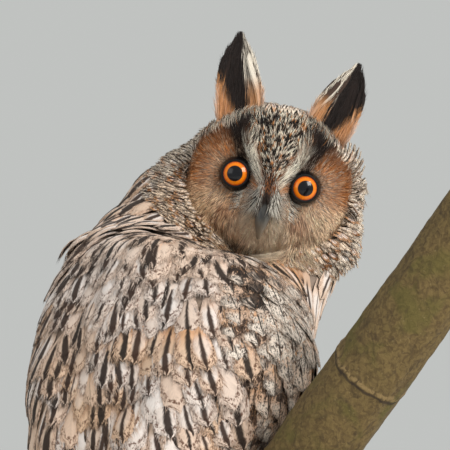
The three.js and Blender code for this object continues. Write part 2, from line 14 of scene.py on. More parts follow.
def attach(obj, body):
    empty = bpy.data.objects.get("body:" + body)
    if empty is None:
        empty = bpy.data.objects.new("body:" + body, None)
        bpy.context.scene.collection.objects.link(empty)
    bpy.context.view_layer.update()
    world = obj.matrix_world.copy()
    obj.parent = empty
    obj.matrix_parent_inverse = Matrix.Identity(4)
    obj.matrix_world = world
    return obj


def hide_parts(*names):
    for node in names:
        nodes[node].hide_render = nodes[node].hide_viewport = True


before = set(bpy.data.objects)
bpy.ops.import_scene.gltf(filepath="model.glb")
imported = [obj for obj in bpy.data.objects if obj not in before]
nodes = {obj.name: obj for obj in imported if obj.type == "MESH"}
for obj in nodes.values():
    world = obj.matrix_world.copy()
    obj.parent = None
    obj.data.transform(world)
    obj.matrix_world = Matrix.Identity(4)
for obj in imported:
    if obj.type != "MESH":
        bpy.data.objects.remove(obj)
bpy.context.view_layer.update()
bpy.ops.object.select_all(action="DESELECT")
MM = 0.001
rng = np.random.default_rng(41)

# Camera. It looks level at the owl from where a long lens stood, a little below the head's
# height, and its view is as wide as the photograph is.
VIEW_CENTRE = Vector((9.2, 0, 260.4)) * MM
VIEW_WIDTH = 236.9 * MM
CAMERA_DISTANCE = 6.0
SENSOR = 36.0
bpy.ops.object.camera_add(
    location=VIEW_CENTRE - Vector((0, CAMERA_DISTANCE, 0)), rotation=(math.pi / 2, 0, 0)
)
camera = bpy.context.object
camera.data.sensor_width = SENSOR
camera.data.lens = SENSOR * CAMERA_DISTANCE / VIEW_WIDTH
camera.data.clip_end = 10 * CAMERA_DISTANCE
bpy.context.scene.camera = camera
bpy.context.scene.view_settings.view_transform = "Standard"

# Studio. Soft light from a big panel on the right, a weaker one on the left and one from
# behind, with an even pale surround. The floor fades out where it would meet the surround.
SURROUND = (0.80, 0.82, 0.80)
world = bpy.data.worlds.new("surround")
world.use_nodes = True
world.node_tree.nodes["Background"].inputs["Color"].default_value = (*SURROUND, 1)
world.node_tree.nodes["Background"].inputs["Strength"].default_value = 0.66
bpy.context.scene.world = world


def light_panel(name, place, size, watts, tint=(1, 1, 1)):
    bpy.ops.object.light_add(type="AREA", location=place)
    panel = bpy.context.object
    panel.name = name
    panel.data.size = size
    panel.data.energy = watts
    panel.data.color = tint
    aim = Vector((0, 0, 0.22)) - panel.location
    panel.rotation_euler = aim.to_track_quat("-Z", "Y").to_euler()


light_panel("key_light", (1.7, -1.6, 1.5), 1.1, 58, (1, 0.97, 0.93))
light_panel("fill_light", (-1.8, -1.6, 1.1), 1.4, 9, (0.98, 0.99, 1))
light_panel("rim_light", (0.7, 2.0, 1.6), 1.0, 22)


def feed(tree, value, socket):
    if isinstance(value, Number):
        tree.links.new(value.socket, socket)
    elif hasattr(value, "__len__") and len(value) == 3 and len(socket.default_value) == 4:
        socket.default_value = (*value, 1)
    else:
        socket.default_value = value


class Number:
    """A value in a material that takes part in sums as a plain number does."""

    def __init__(self, tree, socket):
        self.tree = tree
        self.socket = socket

    def calc(self, operation, *others):
        node = self.tree.nodes.new("ShaderNodeMath")
        node.operation = operation
        for socket, value in zip(node.inputs, (self, *others)):
            feed(self.tree, value, socket)
        return Number(self.tree, node.outputs[0])

    def __add__(self, other):
        return self.calc("ADD", other)

    def __sub__(self, other):
        return self.calc("SUBTRACT", other)

    def __mul__(self, other):
        return self.calc("MULTIPLY", other)

    def __truediv__(self, other):
        return self.calc("DIVIDE", other)

    def __rsub__(self, other):
        return (self * -1) + other

    def __abs__(self):
        return self.calc("ABSOLUTE")

    def smooth(self, low, high):
        node = self.tree.nodes.new("ShaderNodeMapRange")
        node.interpolation_type = "SMOOTHSTEP"
        for socket, value in zip(node.inputs, (self, low, high)):
            feed(self.tree, value, socket)
        return Number(self.tree, node.outputs[0])


class Look:
    """A material whose nodes are joined up by short calls."""

    def __init__(self, name, roughness=0.9, **more):
        self.material = bpy.data.materials.new(name)
        self.material.use_nodes = True
        self.tree = self.material.node_tree
        self.shader = self.tree.nodes["Principled BSDF"]
        self.shader.inputs["Roughness"].default_value = roughness
        for socket, value in more.items():
            self.shader.inputs[socket.replace("_", " ")].default_value = value

    def node(self, kind, inputs=(), output=0, **settings):
        node = self.tree.nodes.new(kind)
        for key, value in settings.items():
            setattr(node, key, value)
        for socket, value in dict(inputs).items():
            feed(self.tree, value, node.inputs[socket])
        return Number(self.tree, node.outputs[output])

    def place(self):
        return self.node("ShaderNodeTexCoord", output="Object")

    def stretched(self, vector, scale, turn=(0, 0, 0)):
        return self.node("ShaderNodeMapping", {"Vector": vector, "Scale": scale, "Rotation": turn})

    def attribute(self, name, output="Color"):
        return self.node("ShaderNodeAttribute", output=output, attribute_name=name)

    def numbers(self, name):
        """The three numbers that each point of a piece keeps under a name."""
        return self.parts(self.attribute(name, "Vector"))

    def parts(self, vector):
        node = self.tree.nodes.new("ShaderNodeSeparateXYZ")
        feed(self.tree, vector, node.inputs[0])
        return [Number(self.tree, socket) for socket in node.outputs]

    def vector(self, *parts):
        return self.node("ShaderNodeCombineXYZ", enumerate(parts))

    def noise(self, vector, scale, detail=2, distortion=0):
        inputs = {"Vector": vector, "Scale": scale, "Detail": detail, "Distortion": distortion}
        return self.node("ShaderNodeTexNoise", inputs)

    def cells(self, vector, scale):
        return self.node("ShaderNodeTexVoronoi", {"Vector": vector, "Scale": scale}, "Distance")

    def layered(self, colour, *layers):
        """A colour with others laid over it in turn, each by its amount of 0 to 1."""
        for other, amount in layers:
            node = self.tree.nodes.new("ShaderNodeMix")
            node.data_type = "RGBA"
            feed(self.tree, amount, node.inputs[0])
            feed(self.tree, colour, node.inputs[6])
            feed(self.tree, other, node.inputs[7])
            colour = Number(self.tree, node.outputs[2])
        return colour

    def colour(self, value, *layers):
        feed(self.tree, self.layered(value, *layers), self.shader.inputs["Base Color"])

    def bump(self, height, distance, strength=1.0):
        raised = self.node("ShaderNodeBump", {"Height": height, "Distance": distance, "Strength": strength})
        self.tree.links.new(raised.socket, self.shader.inputs["Normal"])


def paint(red, green, blue):
    """A paint colour of 0 to 255 a part, as light."""
    parts = (red, green, blue)
    return np.array([((part / 255 + 0.055) / 1.055) ** 2.4 if part > 10 else part / 3295 for part in parts])


FLOOR_REACH = 1.5
FLOOR_FADE = (0.5, 1.4)
bpy.ops.mesh.primitive_circle_add(vertices=64, radius=FLOOR_REACH, fill_type="NGON")
floor = bpy.context.object
floor.name = "floor"
floor_look = Look("floor_paint", 0.8)
floor_look.colour(paint(226, 226, 222))
from_middle = floor_look.node("ShaderNodeVectorMath", {0: floor_look.place()}, 1, operation="LENGTH")
fade = floor_look.node("ShaderNodeMixShader", {0: from_middle.smooth(*FLOOR_FADE)})
mixer = fade.socket.node
clear = floor_look.tree.nodes.new("ShaderNodeBsdfTransparent")
floor_look.tree.links.new(floor_look.shader.outputs[0], mixer.inputs[1])
floor_look.tree.links.new(clear.outputs[0], mixer.inputs[2])
floor_look.tree.links.new(mixer.outputs[0], floor_look.tree.nodes["Material Output"].inputs[0])
floor.data.materials.append(floor_look.material)

# Display base and rods. A rounded board of dark oiled oak carries two steel rods, painted
# black and pushed into the underside of the branch.
board_look = Look("oiled_oak", 0.42)
grain = board_look.noise(board_look.stretched(board_look.place(), (12, 90, 90)), 1.6, 6, 1.2)
pores = board_look.noise(board_look.stretched(board_look.place(), (60, 1400, 1400)), 1.0, 2).smooth(0.56, 0.7)
board_look.colour(
    paint(58, 38, 24), (paint(104, 72, 46), grain.smooth(0.35, 0.68)), (paint(34, 22, 15), pores * 0.7)
)
board_look.bump(grain * 0.6 - pores * 0.5, 0.0004)

rod_look = Look("painted_steel", 0.35, Coat_Weight=0.3)
rod_look.colour(paint(30, 31, 32))
rod_look.bump(rod_look.noise(rod_look.place(), 900, 3), 0.0001, 0.4)


def dress(piece, look):
    piece.data.materials.clear()
    piece.data.materials.append(look.material)


dress(nodes["stand_base"], board_look)
dress(nodes["stand_rod_front"], rod_look)
dress(nodes["stand_rod_back"], rod_look)

# Branch. A cut length with thin ridged bark, olive brown with paler wrinkles and green algae,
# and a sawn face at each end.
BARK_RIDGE = 0.55 * MM
BARK_DEPTH = 1.5 * MM
LOWER_RING = np.array([53.9, 0, 162.5]) * MM
RING_SCARS = (0, 71)  # places along the branch, in mm from the lower ring in the view


def activate(piece):
    bpy.ops.object.select_all(action="DESELECT")
    piece.select_set(True)
    bpy.context.view_layer.objects.active = piece


def placed(name, mesh):
    piece = bpy.data.objects.new(name, mesh)
    bpy.context.collection.objects.link(piece)
    return piece


def edit_whole(piece, operation, **settings):
    """Runs an operation of edit mode over all of a piece."""
    activate(piece)
    bpy.ops.object.mode_set(mode="EDIT")
    bpy.ops.mesh.select_all(action="SELECT")
    operation(**settings)
    bpy.ops.object.mode_set(mode="OBJECT")


def copy_of(name, new_name):
    """A free copy of a node of the frame, with its loose triangles joined."""
    piece = placed(new_name, nodes[name].data.copy())
    edit_whole(piece, bpy.ops.mesh.remove_doubles, threshold=2e-6)
    piece.data.materials.clear()
    return piece


def apply_modifier(piece, kind, **settings):
    activate(piece)
    modifier = piece.modifiers.new(kind.lower(), kind)
    for key, value in settings.items():
        setattr(modifier, key, value)
    bpy.ops.object.modifier_apply(modifier=modifier.name)


def finish(piece, look, smooth=True):
    """Gives a piece its finish and lets it ride on the model."""
    dress(piece, look)
    if smooth:
        piece.data.shade_smooth()
    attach(piece, "root")


def points_of(piece, kind="co"):
    values = np.empty(len(piece.data.vertices) * 3)
    piece.data.vertices.foreach_get(kind, values)
    return values.reshape(-1, 3)


def normals_of(piece):
    return points_of(piece, "normal")


def move_points(piece, points):
    piece.data.vertices.foreach_set("co", np.ascontiguousarray(points, float).ravel())
    piece.data.update()


def lumps(points, size, seed=0.0):
    """Smooth noise of about -1 to 1, with features of a size."""
    scaled = points / size + seed
    return np.fromiter((noise.noise(point) for point in scaled.tolist()), float, len(scaled))


perch = copy_of("perch_branch", "perch_bark")
apply_modifier(perch, "SUBSURF", levels=3, render_levels=3, subdivision_type="SIMPLE")
perch_points = points_of(perch)
perch_middle = perch_points.mean(0)
perch_way = np.linalg.svd(perch_points - perch_middle, full_matrices=False)[2][0]
perch_way *= np.sign(perch_way[2])
along = (perch_points - perch_middle) @ perch_way
cut_ends = []
for hand in (-1, 1):
    faced = normals_of(perch) @ perch_way * hand > 0.9
    near_end = faced & (along * hand > (along * hand).max() - 12 * MM)
    way = normals_of(perch)[near_end].mean(0)
    way /= np.linalg.norm(way)
    middle = perch_points[near_end].mean(0)
    on_cut = abs((perch_points - middle) @ way) < 0.4 * MM
    cut_ends.append((way, middle, on_cut))
for _ in range(2):
    apply_modifier(perch, "SMOOTH", iterations=6, factor=0.5)
perch_normals = normals_of(perch)
perch_points = points_of(perch)
wrinkle = lumps(perch_points * [1, 1, 0.45], 4.2 * MM) + 0.6 * lumps(perch_points, 2.0 * MM, 7)
swelling = lumps(perch_points, 26 * MM, 3)
scar_base = LOWER_RING @ perch_way
scar_place = perch_points @ perch_way - scar_base + lumps(perch_points, 20 * MM, 9) * 1.6 * MM
scar = sum(np.exp(-(((scar_place - place * MM) / (1.5 * MM)) ** 2)) for place in RING_SCARS)
relief = BARK_RIDGE * (0.5 * wrinkle + swelling + 1.2 * scar) + BARK_DEPTH
perch_points = perch_points + perch_normals * relief[:, None]
for way, middle, on_cut in cut_ends:
    off_cut = (perch_points - middle) @ way
    perch_points -= np.outer(np.where(on_cut, off_cut, np.maximum(off_cut, 0)), way)
move_points(perch, perch_points)

bark_look = Look("bark", 0.88)
spot = bark_look.place()
coarse = bark_look.noise(spot, 42, 5, 0.6)
fine = bark_look.noise(spot, 380, 5, 0.8)
flakes = bark_look.noise(bark_look.stretched(spot, (1, 1, 0.5), (0.4, 0.5, 0)), 190, 4, 1.0)
dot_inputs = {0: spot, 1: perch_way.tolist()}
along_perch = bark_look.node("ShaderNodeVectorMath", dot_inputs, 1, operation="DOT_PRODUCT")
along_perch = along_perch - float(scar_base) + (coarse - 0.5) * 0.012
# At each ring scar, a pale band on the upper flank of the raised ring and a dark line below it are a painted
# highlight and a painted shade.
scar_light_and_shade = []
for place in RING_SCARS:
    from_scar = along_perch - place * MM
    ridge = abs(from_scar - 0.0012).smooth(0.0016, 0.0004) * fine.smooth(0.35, 0.55)
    scar_light_and_shade.append((paint(142, 118, 78), ridge * 0.7))
    scar_light_and_shade.append((paint(44, 32, 20), abs(from_scar + 0.0012).smooth(0.0014, 0.0003) * 0.8))
bark_look.colour(
    paint(86, 68, 38),
    (paint(116, 96, 56), fine.smooth(0.3, 0.7)),
    (paint(90, 84, 34), coarse.smooth(0.5, 0.68) * 0.6),
    (paint(58, 44, 26), flakes.smooth(0.54, 0.7) * 0.5),
    (paint(150, 132, 92), bark_look.cells(spot, 260).smooth(0.16, 0.05) * 0.3),
    *scar_light_and_shade,
)
bark_look.bump(fine * 0.6 + flakes * 0.8, 0.0011, 0.9)

sawn_look = Look("sawn_wood", 0.75)
rings = sawn_look.noise(sawn_look.place(), 120, 4, 1.5)
sawn_look.colour(paint(178, 146, 100), (paint(132, 100, 62), rings.smooth(0.4, 0.64)))
sawn_look.bump(rings, 0.0005)

finish(perch, bark_look)
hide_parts("perch_branch")
perch.data.materials.append(sawn_look.material)
on_cut = cut_ends[0][2] | cut_ends[1][2]
for face in perch.data.polygons:
    if on_cut[list(face.vertices)].all():
        face.material_index = 1
        face.use_smooth = False

# Skin. One closed body lies under all the plumage, inside the frame's solids by the depth of
# the coat. The trunk is drawn from the outline of the torso, neck and wing solids, the head
# from its own dished form, and the legs and feet from their solids. All are fused as one.
HEADING = math.radians(38)
PITCH = math.radians(32)
UP = np.array([0, 0, 1.0])
FORWARD = np.array([math.sin(HEADING), math.cos(HEADING), 0])
RIGHT = np.array([math.cos(HEADING), -math.sin(HEADING), 0])
AXIS = FORWARD * math.sin(PITCH) + UP * math.cos(PITCH)
DORSAL = UP * math.sin(PITCH) - FORWARD * math.cos(PITCH)
BODY_CENTRE = np.array([-16, 22, 168]) * MM
NECK_BEND = 15 * MM
COAT_DEPTH = 5 * MM
WING_COAT_DEPTH = 4 * MM
RAY_START = 0.16
TURN_STEP = 4
TRUNK_PLACES = np.arange(-120, 151, 3.0) * MM
# where the left shoulder and the right wing swell: place, turn, their half sizes, and height in mm
SWELLINGS = ((86, 290, 15, 34, 5.5), (28, 92, 24, 24, 5))


def smooth(value, low, high):
    """Eases from 0 at the first value to 1 at the second, whichever is the higher."""
    share = np.clip((value - low) / (high - low), 0, 1)
    return share * share * (3 - 2 * share)


def solid_tree(*names):
    points = []
    faces = []
    for name in names:
        mesh = nodes[name].data
        start = len(points)
        points += [vertex.co.to_tuple() for vertex in mesh.vertices]
        faces += [[start + i for i in polygon.vertices] for polygon in mesh.polygons]
    return BVHTree.FromPolygons(points, faces)


def reach(tree, start, way):
    """How far a solid reaches from a point inside it, or nothing where it isn't met."""
    hit = tree.ray_cast(Vector(start + way * RAY_START), Vector(-way), RAY_START)
    return RAY_START - hit[3] if hit[0] else math.nan


def spine(place):
    place = np.asarray(place)[..., None]
    return BODY_CENTRE + AXIS * place - DORSAL * NECK_BEND * smooth(place, 50 * MM, 110 * MM)


def outward(turn):
    """The way out from the spine: 0 at the back, a quarter turn at the bird's right."""
    turn = np.asarray(turn)[..., None]
    return RIGHT * np.sin(turn) + DORSAL * np.cos(turn)


def softened(grid, times):
    """Evens a grid whose second side closes on itself."""
    for _ in range(times):
        ends = np.pad(grid, ((1, 1), (0, 0)), mode="edge")
        grid = 0.5 * grid + 0.25 * (ends[2:] + ends[:-2])
        grid = 0.5 * grid + 0.25 * (np.roll(grid, 1, 1) + np.roll(grid, -1, 1))
    return grid


def reach_grid(tree, places, turns):
    ways = outward(turns)
    return np.array([[reach(tree, spine(place), way) for way in ways] for place in places])


def rings_mesh(name, grid):
    """A closed mesh over rings of points, with a point in the middle of each end."""
    rows, round_count = grid.shape[:2]
    points = np.vstack([grid.reshape(-1, 3), grid[0].mean(0), grid[-1].mean(0)])
    index = np.arange(rows * round_count).reshape(rows, round_count)
    following = np.roll(index, -1, 1)
    faces = np.stack([index[:-1], following[:-1], following[1:], index[1:]], -1).reshape(-1, 4).tolist()
    faces += [[len(points) - 2, b, a] for a, b in zip(index[0], following[0])]
    faces += [[len(points) - 1, a, b] for a, b in zip(index[-1], following[-1])]
    mesh = bpy.data.meshes.new(name)
    mesh.from_pydata(points.tolist(), [], faces)
    piece = placed(name, mesh)
    edit_whole(piece, bpy.ops.mesh.normals_make_consistent, inside=False)
    return piece


turns = np.radians(np.arange(0, 360, TURN_STEP))
trunk_reach = reach_grid(solid_tree("torso", "neck", "tail"), TRUNK_PLACES, turns)
for row in range(1, len(trunk_reach)):
    trunk_reach[row] = np.where(np.isnan(trunk_reach[row]), trunk_reach[row - 1], trunk_reach[row])
wing_reach = reach_grid(solid_tree("left_wing", "right_wing"), TRUNK_PLACES, turns)
on_shell = (TRUNK_PLACES > -70 * MM) & (TRUNK_PLACES < 70 * MM)
winged = np.where(on_shell[:, None] & ~np.isnan(wing_reach), wing_reach - WING_COAT_DEPTH, 0)
trunk_skin = np.maximum(softened(trunk_reach, 2) - COAT_DEPTH, winged)
trunk_skin = softened(trunk_skin, 3)
for place, turn, long, wide, high in SWELLINGS:
    aside = (np.degrees(turns) - turn + 180) % 360 - 180
    swelling = np.exp(-(((TRUNK_PLACES[:, None] / MM - place) / long) ** 2) - (aside[None] / wide) ** 2)
    trunk_skin = trunk_skin + high * MM * swelling
trunk_grid = spine(TRUNK_PLACES)[:, None] + outward(turns)[None] * trunk_skin[..., None]

# the head's own space is in millimetres: x to the viewer's right, y away, z up the tilted head
HEAD_CENTRE = np.array([33, 70, 283]) * MM
HEAD_ROLL = math.radians(12)
EYE_X = 18.65
FACE_WIDTH = 44
FACE_TOP = 41
FACE_BOTTOM = 43
HEAD_BACK = 46
HEAD_COAT = 4
FACE_COAT = 2.4
HEAD_AXES = np.array(
    [
        [math.cos(HEAD_ROLL), 0, -math.sin(HEAD_ROLL)],
        [0, 1, 0],
        [math.sin(HEAD_ROLL), 0, math.cos(HEAD_ROLL)],
    ]
)


def from_head(points):
    return np.asarray(points) @ HEAD_AXES * MM + HEAD_CENTRE


def to_head(points):
    return (np.asarray(points) - HEAD_CENTRE) @ HEAD_AXES.T / MM


def bump_at(value, width):
    return np.exp(-((value / width) ** 2))


def mixed(first, second, share):
    return first + (second - first) * share


def face_out(x, z):
    """0 at the middle of the face, 1 at its edge."""
    return np.hypot(x / FACE_WIDTH, z / np.where(z > 0, FACE_TOP, FACE_BOTTOM))


def face_forward(x, z):
    """How far the face stands forward: a dish round each eye, a ridge between, a raised rim."""
    side = abs(x)
    from_eye = np.hypot((side - EYE_X - 3) / 25, (z + 2) / 31)
    dish = -9.5 * smooth(from_eye, 1, 0.15)
    ridge = 7.5 * bump_at(x, 6.5) * smooth(z, -34, -6) * mixed(1, 0.35, smooth(z, 8, 36))
    brow = 3.2 * bump_at(side - mixed(8, 15.5, smooth(z, 2, 24)), 4) * smooth(z, -4, 6) * smooth(z, 31, 24)
    cheek = 3 * bump_at(np.hypot(side - 12, z + 20), 9)
    return 25 - 9 * face_out(x, z) ** 4 + dish + ridge + brow + cheek


round_head = np.radians(np.arange(0, 360, TURN_STEP))
head_x = FACE_WIDTH * np.sin(round_head)
head_z = np.cos(round_head) * np.where(np.cos(round_head) > 0, FACE_TOP, FACE_BOTTOM)
inset = 1 - HEAD_COAT / FACE_WIDTH
head_rings = []
for out in np.linspace(0.04, 1, 24):
    depth = mixed(FACE_COAT, HEAD_COAT, smooth(out, 0.8, 1))
    x = head_x * out * inset
    z = head_z * out * inset
    head_rings.append(np.stack([x, depth - face_forward(x, z), z], -1))
face_edge = head_rings[-1][:, 1]
for tilt in np.radians(np.arange(6, 90, 7)):
    out = math.cos(tilt) ** 0.9 * (1 + 0.1 * math.sin(2 * tilt)) * inset
    y = mixed(face_edge.mean(), HEAD_BACK - HEAD_COAT, math.sin(tilt))
    y = mixed(face_edge, y, smooth(tilt, 0, 0.8))
    head_rings.append(np.stack([head_x * out, y, head_z * out], -1))
head_grid = from_head(np.array(head_rings))

LIMB_COAT = {"leg": 3 * MM, "foot": 1 * MM}
skin_parts = [rings_mesh("trunk_skin", trunk_grid), rings_mesh("head_skin", head_grid)]
for side in ("left", "right"):
    for limb, depth in LIMB_COAT.items():
        part = copy_of(f"{side}_{limb}", f"{side}_{limb}_skin")
        move_points(part, points_of(part) - normals_of(part) * depth)
        skin_parts.append(part)
activate(skin_parts[0])
for part in skin_parts:
    part.select_set(True)
bpy.ops.object.join()
skin = bpy.context.object
skin.name = "skin"
apply_modifier(skin, "REMESH", mode="VOXEL", voxel_size=1.7 * MM)
apply_modifier(skin, "SMOOTH", iterations=3, factor=0.5)
skin_points = points_of(skin)
skin.data.calc_loop_triangles()
skin_faces = np.empty(len(skin.data.loop_triangles) * 3, int)
skin.data.loop_triangles.foreach_get("vertices", skin_faces)
skin_faces = skin_faces.reshape(-1, 3)
skin_tree = BVHTree.FromPolygons(skin_points.tolist(), skin_faces.tolist())

# Plumage of the trunk and neck. Soft contour feathers lie from the head to the tail, each a
# thin vane with a dark shaft streak, wavy bars and a buff base, edged and dressed with barbs.
STREAK = paint(26, 18, 14)
BARK_BROWN = paint(92, 56, 36)
ASH = paint(212, 187, 169)
CREAM = paint(226, 191, 160)
BUFF = paint(208, 142, 84)
SNOW = paint(238, 229, 224)

corners = skin_points[skin_faces]
face_areas = np.linalg.norm(np.cross(*(corners[:, 1:] - corners[:, :1]).transpose(1, 0, 2)), axis=1) / 2
face_middles = corners.mean(1)


def unit(vectors):
    return vectors / np.maximum(np.linalg.norm(vectors, axis=-1, keepdims=True), 1e-12)


def flattened(vectors, normals):
    """The part of each vector that lies along the surface, one long."""
    return unit(vectors - normals * (vectors * normals).sum(-1, keepdims=True))


def body_places(points):
    """Place along the body in mm, and turn about it in degrees, 0 on the back, + on the right."""
    from_centre = points - BODY_CENTRE
    turn = np.degrees(np.arctan2(from_centre @ RIGHT, from_centre @ DORSAL))
    return from_centre @ AXIS / MM, turn


def onto_skin(points):
    """The nearest points of the skin, and the way out there."""
    found = [skin_tree.find_nearest(point)[:2] for point in points.tolist()]
    return np.array([hit[0] for hit in found]), np.array([hit[1] for hit in found])


CROWDING = 0.75


def sow(spacing, where, even=True, stretch=1.0):
    """Roots over the skin, about a spacing apart, wherever the given weight allows. A stretch
    sets them that much farther apart along the body than round it."""
    weight = face_areas * where(face_middles)
    count = int((12.0 if even else 1.3) * weight.sum() / spacing**2)
    chosen = rng.choice(len(weight), count, p=weight / weight.sum())
    shares = rng.dirichlet((1, 1, 1), count)
    roots = (corners[chosen] * shares[..., None]).sum(1)
    if not even:
        return roots
    kept = []
    cells = {}
    apart = (spacing * CROWDING) ** 2
    spots = roots - ((roots - BODY_CENTRE) @ AXIS * (1 - 1 / stretch))[:, None] * AXIS
    for root, spot in zip(roots, spots.tolist()):
        key = tuple(int(part // spacing) for part in spot)
        near = [
            other
            for i in (-1, 0, 1)
            for j in (-1, 0, 1)
            for k in (-1, 0, 1)
            for other in cells.get((key[0] + i, key[1] + j, key[2] + k), ())
        ]
        if all((spot[0] - x) ** 2 + (spot[1] - y) ** 2 + (spot[2] - z) ** 2 > apart for x, y, z in near):
            cells.setdefault(key, []).append(spot)
            kept.append(root)
    return np.array(kept)


def body_lie(points, normals):
    """The way feathers point: away from the turned face near it, and down the body below."""
    away = points - from_head([0, -20, -4])
    distance = np.linalg.norm(away, axis=-1, keepdims=True)
    head = to_head(points)
    beneath = smooth(head[:, 0], -6, 12) * smooth(head[:, 2], -20, -34)
    share = (0.85 * np.exp(-((distance / (76 * MM)) ** 2)) + 0.05) * (1 - 0.85 * beneath[:, None])
    place, turn = body_places(points)
    hanging = (smooth(place, -90, -45) * smooth(abs(turn), 125, 95))[:, None]
    lean = 0.1 + 0.35 * smooth(turn, 10, 60)[:, None]
    sweep = mixed(0.3, 1.0, smooth(points[:, 0] / MM, -55, -15))
    sweep = mixed(0.45, sweep, smooth(points[:, 2] / MM, 190, 225)) * smooth(abs(turn), 110, 85)
    down = mixed(unit(RIGHT * sweep[:, None] - AXIS), unit(RIGHT * lean - UP), hanging)
    return flattened(unit(away) * share + down * (1 - share), normals)


class Paths:
    """Centre lines over the skin: points, the way out and the way along at each step."""

    def __init__(self, roots, lie, lengths, steps, rise, sink=0.8 * MM, stray=0.12, curve=0.8, swell=0.0):
        points, normals = onto_skin(roots)
        count = len(points)
        turned = rng.normal(0, stray, count)[:, None]
        self.shares = np.linspace(0, 1, steps + 1)
        lines, outs = [], []
        for share in self.shares:
            height = (np.asarray(rise) + sink) * share**curve - sink
            height = height + np.asarray(swell) * share**curve * (1 - 0.5 * share**3)
            lines.append(points + normals * np.reshape(height, (-1, 1)))
            outs.append(normals)
            way = lie(points, normals)
            way = unit(way + np.cross(normals, way) * turned)
            points, normals = onto_skin(points + way * np.reshape(lengths / steps, (-1, 1)))
        self.lines = np.stack(lines, 1)
        self.outs = np.stack(outs, 1)
        self.finish()

    @classmethod
    def through(cls, lines, outs):
        """Paths along given points, with the way out at each."""
        paths = cls.__new__(cls)
        paths.shares = np.linspace(0, 1, lines.shape[1])
        paths.lines = lines
        paths.outs = outs
        paths.finish()
        return paths

    def finish(self):
        self.ways = unit(np.gradient(self.lines, axis=1))
        self.outs = flattened(self.outs, self.ways)
        self.sides = np.cross(self.ways, self.outs)

    def at(self, which, share, across, height):
        """Points on chosen lines, at a share of the length, aside and above by distances."""
        steps = len(self.shares) - 1
        scaled = share * steps
        low = np.clip(scaled.astype(int), 0, steps - 1)
        part = (scaled - low)[:, None]
        inside = np.clip(part, 0, 1)
        point, side, out = (
            mixed(values[which, low], values[which, low + 1], amount)
            for values, amount in ((self.lines, part), (self.sides, inside), (self.outs, inside))
        )
        return point + side * across[:, None] + out * height[:, None], out


def leaf(share, widest=0.79, root=0.3):
    """Half width along a feather as a share of the most: narrow root, full end, round tip."""
    opening = root + (1 - root) * smooth(share, 0, widest)
    closing = np.sqrt(np.clip(1 - ((share - widest) / (1 - widest)) ** 2, 0, 1))
    return np.where(share < widest, opening, closing)


def raw_mesh(name, points, faces):
    """A mesh straight from arrays of points and of faces with the same number of corners."""
    mesh = bpy.data.meshes.new(name)
    mesh.vertices.add(len(points))
    mesh.vertices.foreach_set("co", np.ascontiguousarray(points, np.float32).ravel())
    sides = faces.shape[1]
    mesh.loops.add(faces.size)
    mesh.loops.foreach_set("vertex_index", faces.astype(np.int32).ravel())
    mesh.polygons.add(len(faces))
    mesh.polygons.foreach_set("loop_start", np.arange(0, faces.size, sides, dtype=np.int32))
    mesh.update(calc_edges=True)
    return placed(name, mesh)


def keep_colour(piece, name, values):
    stored = piece.data.attributes.new(name, "FLOAT_COLOR", "POINT")
    padded = np.column_stack([values, np.ones(len(values))]).astype(np.float32)
    stored.data.foreach_set("color", padded.ravel())


def keep_vector(piece, name, values):
    stored = piece.data.attributes.new(name, "FLOAT_VECTOR", "POINT")
    stored.data.foreach_set("vector", np.ascontiguousarray(values, np.float32).ravel())


def keep_bake_map(piece, per_point):
    """The map that a bake of the piece's colours uses: one place on it for each point."""
    layer = piece.data.uv_layers.new(name="OFBake")
    corner_points = np.empty(len(piece.data.loops), np.int32)
    piece.data.loops.foreach_get("vertex_index", corner_points)
    layer.data.foreach_set("uv", per_point[corner_points].astype(np.float32).ravel())


def skin_map(points):
    """Where a root lies on an unwrap of the body's own shape, 0 to 1 each way."""
    place, turn = body_places(points)
    return np.stack([(turn / 360) % 1.0, np.clip((place + 125) / 330, 0, 1)], -1) * 0.99


VANE_ACROSS = np.array([-1, -0.5, 0, 0.5, 1, 0])
LEAST_HALF_WIDTH = 0.12 * MM


def vanes(name, paths, half_widths, thickness=0.35 * MM, crown=0.5 * MM, droop=0.6 * MM, outline=leaf):
    """Closed thin blades along paths, five points across the top and one below."""
    across = VANE_ACROSS
    count, rows = paths.lines.shape[:2]
    width = np.maximum(half_widths[:, None] * outline(paths.shares), LEAST_HALF_WIDTH)
    lift = crown * (1 - across**2) - droop * across**2
    lift[-1] = -thickness
    points = (
        paths.lines[:, :, None]
        + paths.sides[:, :, None] * (width[..., None] * across)[..., None]
        + paths.outs[:, :, None] * lift[:, None]
    )
    tilt = across * 0.45
    shade = paths.outs[:, :, None] + paths.sides[:, :, None] * tilt[:, None]
    shade[:, :, -1] = -paths.outs
    index = np.arange(count * rows * len(across)).reshape(count, rows, -1)
    around = np.roll(index, -1, 2)
    faces = np.stack([index[:, :-1], around[:, :-1], around[:, 1:], index[:, 1:]], -1).reshape(-1, 4)
    roots = index[:, 0, [[0, 5, 4, 1], [1, 4, 3, 2]]].reshape(-1, 4)
    tips = index[:, -1, [[1, 4, 5, 0], [2, 3, 4, 1]]].reshape(-1, 4)
    piece = raw_mesh(name, points.reshape(-1, 3), np.vstack([faces, roots, tips]))
    piece.data.normals_split_custom_set_from_vertices(unit(shade).reshape(-1, 3).tolist())
    seeds = rng.random(count)
    place = np.empty((*index.shape, 3))
    place[..., 0] = across
    place[..., 1] = paths.shares[None, :, None]
    place[..., 2] = seeds[:, None, None]
    keep_vector(piece, "vane", place.reshape(-1, 3))
    bake_cells(piece, paths.lines[:, 0], place)
    return piece, seeds


